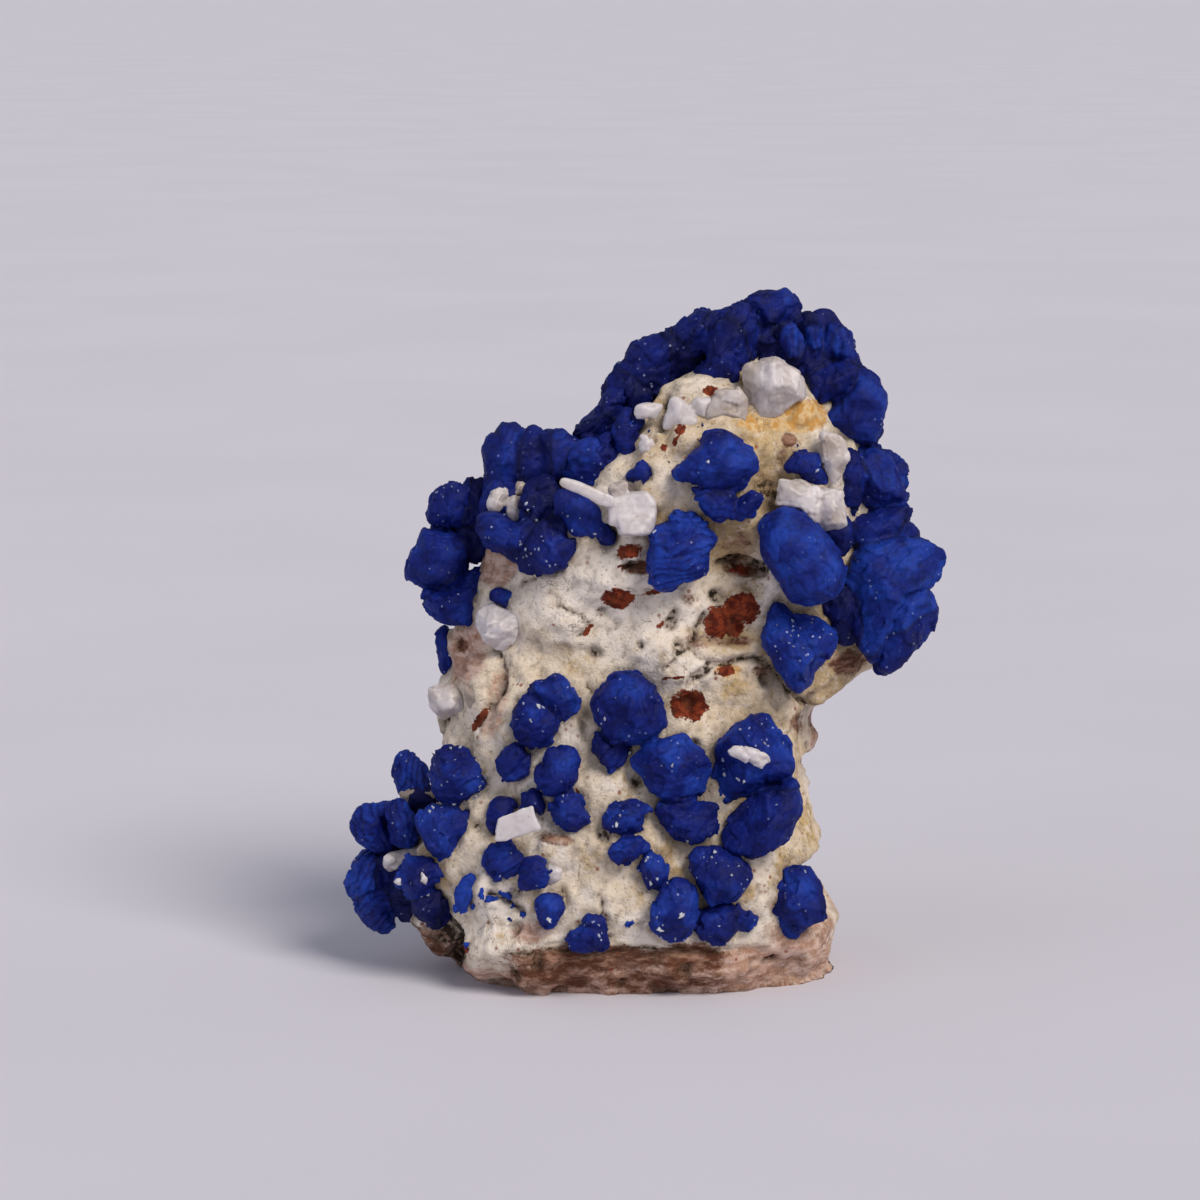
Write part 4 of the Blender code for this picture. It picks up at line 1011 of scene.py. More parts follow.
            (-6.8, 37.1), (-6.2, 37.3), (-5.6, 37.4), (-4.9, 37.3), (-4.6, 37.0), (-3.8, 36.8), (-3.6, 36.4),
            (-3.5, 35.5), (-3.0, 35.2), (-2.0, 35.2), (-1.6, 34.8), (-2.0, 34.0), (-2.5, 33.6), (-3.2, 33.5),
            (-4.2, 34.2), (-5.0, 34.4), (-5.6, 33.8), (-6.4, 33.8)))),
        Growth(-7.0, 34.6, 1.8, 2.5, 80, -2.4, V, tone=0.25),
        Growth(-3.4, 34.3, 1.7, 1.3, 10, -4.8, F, tone=0.65),
        Growth(-2.4, 35.4, 1.2, 1.4, 40, -5.2, R, tone=0.15),
    ]),
    Cluster("azurite_shoulder", [
        Growth(-8.0, 30.5, 3.1, 2.6, 10, None, F, tone=0.45, glitter=0.8, edge=Outline(-7, (
            (-10.6, 31.5), (-10.4, 31.9), (-9.9, 32.0), (-9.2, 31.8), (-8.7, 31.5), (-8.0, 31.2), (-7.5, 31.6),
            (-7.0, 32.3), (-6.5, 32.5), (-6.3, 31.6), (-5.6, 31.0), (-5.6, 29.4), (-6.5, 28.6), (-7.4, 28.2),
            (-8.0, 28.6), (-8.5, 28.8), (-9.0, 29.1), (-9.8, 29.4), (-10.2, 29.8), (-10.7, 30.8)))),
        Growth(-5.9, 29.0, 2.2, 1.9, -20, None, F, tone=0.3, glitter=1.0, edge=Outline(-7, (
            (-6.3, 31.6), (-5.6, 31.0), (-4.8, 30.2), (-4.2, 30.2), (-4.1, 29.8), (-4.3, 29.4), (-4.8, 28.3),
            (-5.2, 28.0), (-6.0, 27.9), (-6.8, 27.7), (-7.4, 27.7), (-7.9, 28.0), (-8.0, 28.6), (-7.4, 30.0)))),
        Growth(-8.9, 32.0, 1.7, 1.6, 20, -3.4, F, tone=0.45),
        Growth(-6.4, 32.0, 1.5, 2.2, 70, -5.2, R, tone=0.0),
        Growth(-5.2, 30.4, 1.2, 1.8, 60, -6.6, R, tone=0.0),
    ]),
    Cluster("azurite_tilted_lens", [Growth(-3.8, 31.8, 2.4, 1.7, -40, -7.2, F, tone=0.4, glitter=0.5, edge=Outline(-7, (
        (-5.7, 32.8), (-5.4, 33.4), (-4.9, 33.5), (-4.2, 33.3), (-3.4, 32.8), (-2.7, 32.3), (-2.2, 31.9), (-2.0, 31.4),
        (-1.7, 30.5), (-1.7, 29.9), (-2.3, 29.7), (-2.9, 29.8), (-3.3, 30.1), (-3.9, 30.1), (-4.4, 30.4), (-4.8, 31.0),
        (-5.1, 31.5), (-5.5, 31.9))))]),
    Cluster("azurite_left_lobes", [
        Growth(-12.4, 31.5, 1.9, 2.0, 75, -1.2, R, glitter=0.9, edge=Outline(-2, (
            (-14.0, 32.0), (-13.6, 32.5), (-13.2, 32.9), (-12.8, 33.2), (-12.2, 33.3), (-11.7, 33.1), (-11.2, 33.0),
            (-10.9, 32.5), (-10.7, 31.4), (-11.0, 30.6), (-11.6, 30.1), (-13.0, 30.1), (-13.8, 30.4), (-14.0, 30.8),
            (-14.2, 31.2)))),
        Growth(-13.2, 28.1, 2.4, 2.5, 60, -1.6, V, glitter=0.6, edge=Outline(-2, (
            (-14.4, 30.2), (-14.7, 29.6), (-14.9, 29.1), (-15.2, 28.7), (-15.4, 28.2), (-15.6, 27.2), (-15.5, 26.8),
            (-15.0, 26.5), (-14.5, 26.2), (-13.5, 26.0), (-12.3, 26.0), (-11.6, 26.6), (-11.3, 27.6), (-11.4, 28.3),
            (-11.0, 28.9), (-11.1, 29.6), (-13.0, 30.0)))),
        Growth(-12.3, 25.4, 2.3, 2.0, 20, -2.2, R, glitter=0.8, edge=Outline(-2, (
            (-14.6, 25.7), (-14.4, 26.1), (-13.5, 26.1), (-12.0, 26.3), (-11.2, 27.4), (-10.3, 27.5), (-9.9, 27.2),
            (-9.8, 26.6), (-10.0, 26.0), (-10.4, 25.2), (-10.8, 24.6), (-11.0, 23.5), (-11.8, 23.6), (-12.6, 23.6),
            (-13.1, 23.8), (-13.7, 24.2), (-14.2, 24.8)))),
        Growth(-12.2, 29.4, 1.9, 2.1, 30, 1.2, R, tone=0.3),
        Growth(-10.8, 31.2, 1.4, 2.2, 80, -0.8, R, tone=0.1),
        Growth(-10.9, 29.3, 1.3, 1.6, 80, -1.2, R, tone=0.0),
    ]),
    Cluster("azurite_left_sliver", [Growth(-9.6, 25.8, 1.3, 0.9, 0, None, F, edge=Outline(-2, (
        (-9.9, 25.8), (-9.4, 26.1), (-8.8, 26.1), (-8.2, 26.0), (-8.0, 25.8), (-8.1, 25.3), (-8.5, 25.1), (-8.8, 24.8),
        (-9.2, 25.0), (-9.9, 25.4))))]),
    Cluster("azurite_left_edge", [Growth(-13.2, 21.4, 1.0, 1.9, 80, 0.0, F, edge=Outline(-2, (
        (-13.0, 23.6), (-12.7, 23.5), (-12.7, 22.8), (-12.6, 22.2), (-12.3, 22.0), (-12.1, 21.5), (-12.0, 20.2),
        (-12.4, 20.0), (-12.9, 20.1), (-13.2, 20.5), (-13.4, 21.2), (-13.5, 22.0), (-13.7, 22.6), (-13.6, 23.1))))]),
    Cluster("azurite_twin", [
        Growth(-5.1, 20.1, 1.5, 1.7, 50, tone=0.6, glitter=0.5, edge=Outline(-9.5, (
            (-5.4, 21.7), (-5.0, 21.4), (-4.7, 21.0), (-4.2, 20.6), (-3.9, 20.2), (-3.9, 19.7), (-3.9, 19.3),
            (-4.2, 19.0), (-4.7, 18.7), (-5.0, 18.4), (-5.6, 18.8), (-6.4, 19.8), (-7.4, 20.6), (-7.1, 21.1),
            (-6.6, 21.2), (-6.0, 21.5)))),
        Growth(-6.7, 18.5, 1.6, 1.7, 30, edge=Outline(-9.5, (
            (-7.5, 20.3), (-7.9, 20.0), (-8.1, 19.6), (-8.3, 19.1), (-8.4, 18.6), (-8.4, 18.1), (-8.1, 17.6),
            (-7.7, 17.2), (-7.3, 16.8), (-6.5, 16.8), (-6.0, 16.9), (-5.6, 17.1), (-5.4, 17.8), (-5.1, 18.4),
            (-5.3, 19.0), (-5.6, 19.6), (-6.2, 20.1), (-7.0, 20.4)))),
    ]),
    Cluster("azurite_middle_chain", [
        Growth(-0.8, 19.5, 2.5, 2.7, 70, edge=Outline(-9.5, (
            (-2.9, 20.6), (-2.5, 20.9), (-2.1, 21.1), (-1.9, 21.5), (-1.6, 21.8), (-1.2, 21.9), (-0.7, 21.9),
            (-0.2, 21.8), (0.2, 21.5), (0.6, 21.3), (0.9, 20.9), (1.1, 20.5), (1.3, 20.1), (1.5, 19.7), (1.7, 19.2),
            (1.7, 18.7), (1.7, 18.2), (1.3, 17.8), (1.1, 17.4), (0.5, 17.2), (0.0, 17.0), (-0.6, 16.9), (-1.2, 16.8),
            (-1.9, 17.2), (-2.4, 17.8), (-2.8, 18.2), (-3.0, 18.8), (-3.1, 19.4), (-3.1, 20.0)))),
        Growth(-2.0, 16.7, 1.2, 1.4, 20, tone=0.4, edge=Outline(-9.5, (
            (-2.9, 17.8), (-3.1, 17.2), (-3.1, 16.6), (-2.9, 16.2), (-2.6, 15.9), (-2.3, 15.6), (-2.1, 15.0),
            (-1.8, 15.2), (-1.4, 15.5), (-0.9, 15.9), (-0.7, 16.4), (-0.7, 16.9), (-1.5, 17.5), (-2.2, 17.8)))),
        Growth(2.1, 15.6, 2.5, 2.3, 10, None, F, tone=0.65, faces=((200, 25, 0.72), (70, 40, 0.8), (330, 50, 0.75)),
                edge=Outline(-9.5, (
                    (-0.6, 15.9), (-0.2, 16.4), (0.2, 17.0), (0.7, 17.3), (1.3, 17.3), (1.8, 17.4), (2.3, 17.6),
                    (3.0, 17.7), (3.3, 17.4), (3.5, 17.0), (4.0, 16.7), (4.3, 16.4), (4.6, 15.9), (4.7, 15.2),
                    (4.5, 14.4), (4.2, 13.6), (3.3, 13.2), (2.2, 13.2), (1.3, 13.6), (0.7, 14.0), (0.3, 14.5),
                    (-0.1, 15.0), (-0.5, 15.4)))),
        Growth(3.2, 12.4, 2.1, 1.7, 15, tone=0.4, edge=Outline(-9.5, (
            (1.1, 13.1), (1.5, 13.2), (2.4, 13.2), (3.5, 13.2), (4.6, 13.2), (5.1, 13.0), (5.1, 12.3), (5.1, 11.6),
            (5.0, 11.1), (4.5, 10.8), (4.1, 10.5), (3.5, 10.4), (2.9, 10.5), (2.3, 10.8), (1.9, 11.3), (1.5, 11.8),
            (1.2, 12.3), (1.1, 12.7)))),
    ]),
    Cluster("azurite_capped", [
        Growth(7.4, 16.4, 2.7, 3.0, -50, None, F, tone=0.6, glitter=0.8, edge=Outline(-10, (
            (5.0, 17.3), (5.5, 17.8), (6.0, 18.2), (6.5, 18.6), (7.2, 19.0), (7.9, 19.2), (8.4, 19.0), (8.7, 18.5),
            (9.1, 18.1), (9.5, 17.6), (9.9, 17.1), (10.0, 16.5), (10.2, 16.0), (10.1, 15.5), (9.9, 15.1), (9.3, 14.7),
            (8.4, 14.3), (7.6, 14.0), (6.9, 13.7), (6.2, 13.2), (5.4, 13.1), (4.9, 13.4), (4.8, 14.2), (4.7, 15.0),
            (4.8, 15.8), (4.8, 16.6)))),
        Growth(8.1, 12.4, 2.6, 2.7, 55, -9.2, F, tone=0.4, faces=((155, 52, 0.62), (330, 30, 0.8)),
                edge=Outline(-10, (
                    (5.3, 10.3), (5.3, 11.0), (5.6, 11.8), (6.1, 12.6), (6.8, 13.3), (7.7, 13.9), (8.7, 14.2),
                    (9.5, 14.6), (10.0, 14.9), (10.4, 14.2), (10.6, 13.6), (10.6, 13.0), (10.4, 12.5), (10.1, 12.0),
                    (9.9, 11.4), (9.7, 10.9), (9.4, 10.5), (8.9, 10.3), (8.4, 10.0), (7.8, 9.7), (7.2, 9.6),
                    (6.6, 9.8), (5.9, 9.9)))),
    ]),
    Cluster("azurite_lower_chain", [
        Growth(-0.9, 12.3, 1.6, 1.3, 20, glitter=0.6, edge=Outline(-9.5, (
            (-2.5, 12.4), (-2.3, 12.8), (-1.9, 13.1), (-1.3, 13.3), (-0.6, 13.4), (-0.1, 13.1), (0.5, 12.9),
            (0.9, 12.6), (0.4, 12.3), (0.4, 11.8), (0.2, 11.3), (-0.3, 11.0), (-1.2, 11.0), (-1.9, 11.2), (-2.4, 11.6),
            (-2.5, 12.0)))),
        Growth(-0.8, 10.4, 1.4, 1.0, 5, tone=0.6, edge=Outline(-11, (
            (-2.2, 10.1), (-2.1, 10.6), (-1.7, 10.9), (-1.2, 11.1), (-0.6, 11.1), (-0.1, 11.3), (0.3, 11.1),
            (0.6, 10.5), (0.6, 10.2), (0.1, 9.9), (-0.3, 9.6), (-0.8, 9.3), (-1.4, 9.4), (-1.9, 9.7)))),
        Growth(0.9, 8.8, 1.1, 1.5, 70, glitter=0.8, edge=Outline(-11, (
            (0.7, 10.3), (1.2, 10.1), (1.6, 9.8), (1.8, 9.4), (1.9, 8.9), (1.9, 8.4), (1.6, 8.0), (1.2, 7.6),
            (0.7, 7.7), (0.4, 8.1), (0.1, 8.6), (-0.1, 9.1), (0.0, 9.6), (0.4, 10.0)))),
        Growth(2.1, 6.6, 1.8, 2.3, 60, tone=0.6, glitter=0.8, edge=Outline(-11, (
            (1.0, 7.0), (1.3, 7.5), (1.7, 8.0), (2.2, 8.4), (3.1, 8.3), (3.5, 7.8), (3.8, 7.2), (3.9, 6.6), (3.8, 6.0),
            (3.6, 5.4), (3.3, 4.9), (2.9, 4.4), (2.4, 4.2), (1.8, 4.1), (1.3, 4.4), (0.9, 4.8), (0.6, 5.3), (0.5, 5.9),
            (0.7, 6.5)))),
        Growth(5.0, 5.7, 1.5, 1.4, 30, tone=0.35, edge=Outline(-10, (
            (3.9, 6.1), (4.6, 6.3), (5.4, 6.4), (6.1, 6.3), (6.6, 6.0), (6.6, 5.0), (6.2, 4.3), (5.9, 3.9), (5.2, 3.7),
            (4.6, 3.8), (4.1, 4.0), (3.7, 4.4), (3.5, 4.9), (3.8, 5.5)))),
        Growth(6.7, 6.0, 0.9, 0.9, 80, edge=Outline(-10, (
            (6.4, 6.6), (6.8, 6.1), (7.4, 5.9), (7.8, 5.6), (7.6, 5.0), (7.1, 4.6), (6.5, 4.5), (6.0, 4.6), (5.8, 5.6),
            (6.0, 6.4)))),
    ]),
    Cluster("azurite_lower_round", [Growth(5.1, 8.8, 2.2, 2.1, 80, tone=0.45, glitter=0.9, edge=Outline(-10, (
        (3.2, 9.6), (3.6, 10.0), (4.2, 10.3), (4.9, 10.4), (5.4, 10.0), (6.0, 9.8), (6.6, 9.5), (7.1, 9.2), (7.4, 8.7),
        (7.4, 8.2), (7.0, 7.6), (6.7, 7.1), (6.3, 6.7), (5.5, 6.4), (4.8, 6.4), (4.3, 6.8), (3.9, 7.4), (3.7, 8.1),
        (3.3, 8.8))))]),
    Cluster("azurite_corner", [Growth(10.0, 6.9, 2.2, 2.5, -30, None, F, edge=Outline(-10, (
        (8.0, 6.3), (8.2, 7.0), (8.5, 7.6), (8.7, 8.2), (9.2, 8.6), (9.8, 8.9), (10.4, 9.0), (11.0, 9.0), (11.3, 8.7),
        (11.6, 8.2), (11.9, 7.8), (12.0, 7.2), (12.1, 6.6), (12.1, 6.0), (12.2, 5.5), (11.7, 5.3), (11.2, 5.0),
        (10.8, 4.6), (10.3, 4.2), (9.8, 4.0), (9.2, 4.2), (8.7, 4.7), (8.2, 5.3), (7.9, 5.8))))]),
    Cluster("azurite_foot_twin", [
        Growth(-3.0, 5.7, 1.0, 0.9, 60, glitter=0.7, edge=Outline(-11, (
            (-3.7, 5.7), (-3.5, 6.0), (-3.1, 6.1), (-2.7, 6.0), (-2.3, 5.8), (-2.1, 5.4), (-2.1, 5.0), (-2.4, 4.6),
            (-3.4, 4.6), (-3.8, 5.2)))),
        Growth(-3.8, 4.8, 1.2, 1.0, 0, glitter=0.9, edge=Outline(-11, (
            (-4.9, 4.5), (-4.6, 4.9), (-4.2, 5.1), (-3.8, 5.4), (-3.0, 5.4), (-2.2, 5.0), (-2.1, 4.6), (-1.9, 4.2),
            (-2.0, 3.8), (-2.4, 3.6), (-2.9, 3.7), (-3.3, 3.4), (-3.8, 3.5), (-4.4, 3.6), (-4.7, 4.0)))),
    ]),
    Cluster("azurite_lower_bead", [Growth(-5.8, 6.6, 1.1, 1.2, 90, None, V, tone=0.6, edge=Outline(-11, (
        (-6.8, 6.6), (-6.8, 7.0), (-6.5, 7.3), (-6.0, 7.5), (-5.5, 7.5), (-5.1, 7.3), (-4.9, 7.0), (-4.8, 6.6),
        (-4.8, 6.2), (-5.1, 5.8), (-5.4, 5.4), (-5.8, 5.1), (-6.2, 5.1), (-6.5, 5.5), (-6.7, 6.0))))]),
    Cluster("azurite_lower_pair", [
        Growth(-8.9, 9.7, 1.6, 1.3, 20, tone=0.6, glitter=0.4, edge=Outline(-11, (
            (-10.3, 9.6), (-10.3, 10.1), (-10.0, 10.4), (-9.7, 10.7), (-9.1, 10.7), (-8.6, 10.9), (-8.1, 10.8),
            (-7.9, 10.3), (-7.5, 10.0), (-7.3, 9.6), (-7.5, 9.0), (-7.9, 8.5), (-8.4, 8.3), (-9.0, 8.3), (-9.5, 8.4),
            (-9.9, 8.8), (-10.1, 9.2)))),
        Growth(-6.9, 8.9, 1.4, 1.3, -20, tone=0.45, edge=Outline(-11, (
            (-7.6, 9.6), (-7.0, 9.8), (-6.4, 9.7), (-6.0, 9.5), (-6.1, 9.1), (-5.5, 9.1), (-6.0, 8.5), (-6.1, 8.1),
            (-6.4, 7.6), (-7.2, 7.6), (-7.8, 7.8), (-8.0, 8.2), (-7.8, 9.0)))),
    ]),
    Cluster("azurite_left_trio", [
        Growth(-4.6, 12.8, 1.5, 1.6, 20, edge=Outline(-9.5, (
            (-5.9, 13.0), (-5.5, 13.5), (-5.1, 13.8), (-4.6, 14.1), (-4.1, 13.9), (-3.8, 13.7), (-3.6, 13.2),
            (-3.5, 12.7), (-3.3, 12.4), (-3.1, 12.1), (-3.0, 11.8), (-3.5, 11.6), (-3.9, 11.3), (-4.5, 11.2),
            (-5.0, 11.3), (-5.4, 11.6), (-5.7, 12.0), (-5.9, 12.5)))),
        Growth(-5.3, 15.3, 1.5, 1.7, 70, edge=Outline(-9.5, (
            (-6.0, 16.8), (-5.4, 16.9), (-4.9, 16.9), (-4.3, 16.8), (-4.0, 16.4), (-3.8, 16.0), (-4.0, 15.5),
            (-4.1, 15.0), (-4.2, 14.6), (-4.5, 14.2), (-5.0, 13.9), (-5.6, 13.7), (-6.2, 13.7), (-6.6, 14.0),
            (-6.7, 14.5), (-6.8, 15.0), (-6.7, 15.5), (-6.3, 15.8), (-6.1, 16.3)))),
    ]),
    Cluster("azurite_small_bead", [Growth(-7.0, 13.4, 1.0, 1.2, 80, tone=0.3, edge=Outline(-9.5, (
        (-7.7, 13.6), (-7.0, 14.0), (-6.6, 14.1), (-6.4, 13.5), (-6.2, 12.9), (-6.3, 12.4), (-6.5, 12.2),
        (-6.8, 12.6), (-7.2, 12.7), (-7.9, 12.7))))]),
    Cluster("azurite_left_bead", [Growth(-8.3, 15.8, 1.3, 1.3, 45, edge=Outline(-9.5, (
        (-9.1, 16.5), (-8.7, 16.8), (-8.2, 17.0), (-7.7, 16.9), (-7.4, 16.6), (-7.1, 16.2), (-7.1, 15.7), (-7.2, 15.1),
        (-7.6, 14.8), (-8.2, 14.5), (-8.7, 14.5), (-9.1, 14.8), (-9.4, 15.3), (-9.4, 16.0))))]),
    Cluster("azurite_plate_bead", [Growth(-9.4, 13.0, 1.1, 1.3, 60, tone=0.35, edge=Outline(-10, (
        (-9.9, 12.5), (-9.7, 13.2), (-9.3, 13.6), (-8.8, 13.7), (-8.3, 13.65), (-8.0, 13.3), (-8.1, 12.6), (-8.8, 11.8),
        (-9.3, 11.0), (-9.8, 11.2), (-10.0, 11.9))))]),
    Cluster("azurite_small_fan", [Growth(-15.2, 13.5, 1.2, 1.7, 70, -1.0, P, edge=Outline(-5, (
        (-16.0, 15.6), (-15.6, 15.7), (-15.2, 15.6), (-14.8, 15.3), (-14.3, 15.0), (-14.1, 14.6), (-13.9, 14.0),
        (-13.9, 13.3), (-14.0, 12.7), (-14.4, 12.4), (-15.2, 12.5), (-15.9, 12.6), (-16.1, 13.1), (-16.2, 13.7),
        (-16.4, 14.0), (-16.3, 14.5), (-16.2, 15.0), (-16.2, 15.3))))]),
    Cluster("azurite_ledge_pair", [
        Growth(-11.9, 13.9, 2.2, 2.2, 10, -6.0, glitter=1.0, edge=Outline(-5, (
            (-13.9, 15.0), (-13.6, 15.5), (-13.1, 15.9), (-12.5, 16.0), (-11.8, 16.0), (-11.3, 15.8), (-10.9, 15.3),
            (-10.5, 14.9), (-10.1, 14.5), (-10.0, 13.9), (-10.1, 13.2), (-10.2, 12.5), (-10.8, 12.2), (-11.3, 12.0),
            (-12.0, 12.0), (-12.6, 12.0), (-13.2, 12.3), (-13.6, 12.7), (-13.8, 13.4), (-13.9, 14.2)))),
        Growth(-12.8, 10.1, 2.2, 2.4, 80, -6.2, F, tone=0.6, edge=Outline(-5, (
            (-14.9, 11.2), (-14.6, 11.6), (-13.9, 12.0), (-12.5, 12.0), (-11.5, 11.8), (-10.8, 11.4), (-10.6, 10.8),
            (-11.0, 10.2), (-11.3, 9.6), (-11.6, 9.0), (-11.9, 8.4), (-12.3, 7.9), (-12.9, 7.8), (-13.4, 8.2),
            (-13.8, 8.8), (-14.1, 9.2), (-14.5, 10.0), (-14.8, 10.7)))),
        Growth(-14.6, 11.6, 1.3, 1.2, 0, -1.4, R, tone=0.0),
    ]),
    Cluster("azurite_ledge_fan", [
        Growth(-17.0, 10.0, 2.3, 2.0, -52, -2.0, P, edge=Outline(-5, (
            (-19.2, 10.9), (-19.0, 11.3), (-18.7, 11.7), (-18.4, 12.0), (-17.8, 12.1), (-17.0, 12.2), (-16.5, 12.2),
            (-16.3, 11.0), (-16.2, 10.0), (-16.1, 9.0), (-16.5, 9.0), (-17.2, 8.8), (-18.0, 9.1), (-18.6, 9.5),
            (-19.0, 9.9), (-19.3, 10.4)))),
        Growth(-15.5, 9.9, 1.4, 1.9, -70, -3.6, P, glitter=0.9, edge=Outline(-5, (
            (-16.9, 12.0), (-16.2, 12.4), (-15.5, 12.4), (-15.3, 11.8), (-15.0, 11.4), (-14.8, 10.8), (-14.6, 10.2),
            (-14.7, 9.4), (-15.2, 9.1), (-15.9, 9.1), (-16.4, 9.4), (-16.8, 10.6)))),
    ]),
    Cluster("azurite_ledge_folds", [
        Growth(-18.0, 6.1, 2.0, 2.2, 60, -1.4, P, tone=0.7, edge=Outline(-5, (
            (-19.7, 6.5), (-19.5, 7.1), (-19.3, 7.5), (-19.0, 8.0), (-18.7, 8.5), (-18.5, 8.9), (-17.9, 9.1),
            (-17.2, 8.9), (-17.1, 8.3), (-16.9, 7.7), (-16.5, 7.4), (-16.5, 6.4), (-17.4, 5.6), (-18.6, 5.4),
            (-19.0, 5.6), (-19.4, 6.0)))),
        Growth(-17.0, 4.4, 1.8, 1.6, 50, -2.0, P, edge=Outline(-5, (
            (-17.6, 6.6), (-16.2, 6.9), (-16.1, 6.3), (-16.0, 5.6), (-16.4, 5.0), (-16.3, 4.3), (-16.1, 3.6),
            (-16.7, 3.3), (-17.4, 3.4), (-18.0, 3.8), (-18.6, 4.3), (-19.0, 4.9), (-19.0, 5.6), (-18.6, 6.2)))),
        Growth(-16.4, 6.6, 1.6, 1.9, 70, -1.6, R, tone=0.1),
        Growth(-15.6, 4.8, 1.4, 1.4, 40, -2.4, R, tone=0.0),
        Growth(-16.6, 9.2, 1.5, 1.2, 0, -0.8, R, tone=0.0),
    ]),
    Cluster("azurite_ledge_front", [
        Growth(-14.6, 7.1, 1.9, 1.7, 15, -6.2, glitter=0.6, edge=Outline(-5, (
            (-15.8, 8.2), (-15.4, 8.6), (-14.9, 8.5), (-14.2, 8.5), (-13.6, 8.4), (-13.2, 7.9), (-12.8, 7.5),
            (-12.9, 7.1), (-13.5, 6.8), (-13.8, 6.4), (-14.0, 5.9), (-14.6, 5.7), (-15.3, 5.8), (-15.9, 6.2),
            (-16.3, 6.6), (-16.3, 7.1), (-15.9, 7.6)))),
        Growth(-13.9, 4.6, 1.5, 1.8, 40, -6.0, tone=0.1, edge=Outline(-5, (
            (-15.5, 6.2), (-14.6, 6.4), (-13.4, 6.4), (-12.9, 5.8), (-12.9, 5.0), (-13.2, 4.0), (-13.8, 3.5),
            (-14.4, 4.0), (-15.0, 4.8)))),
        Growth(-15.4, 6.2, 1.3, 1.3, 0, -3.4, R, tone=0.0),
        Growth(-13.3, 5.3, 1.1, 1.6, 60, -5.6, R, tone=0.0),
    ]),
    Cluster("azurite_chip", [Growth(-11.4, 7.1, 0.7, 1.3, 70, None, F, tone=1.0, edge=Outline(-10, (
        (-12.15, 6.0), (-12.0, 7.5), (-11.6, 8.3), (-11.0, 8.5), (-10.65, 8.1), (-10.7, 7.4), (-11.0, 6.6), (-11.3, 5.9),
        (-11.8, 5.8))))]),
]

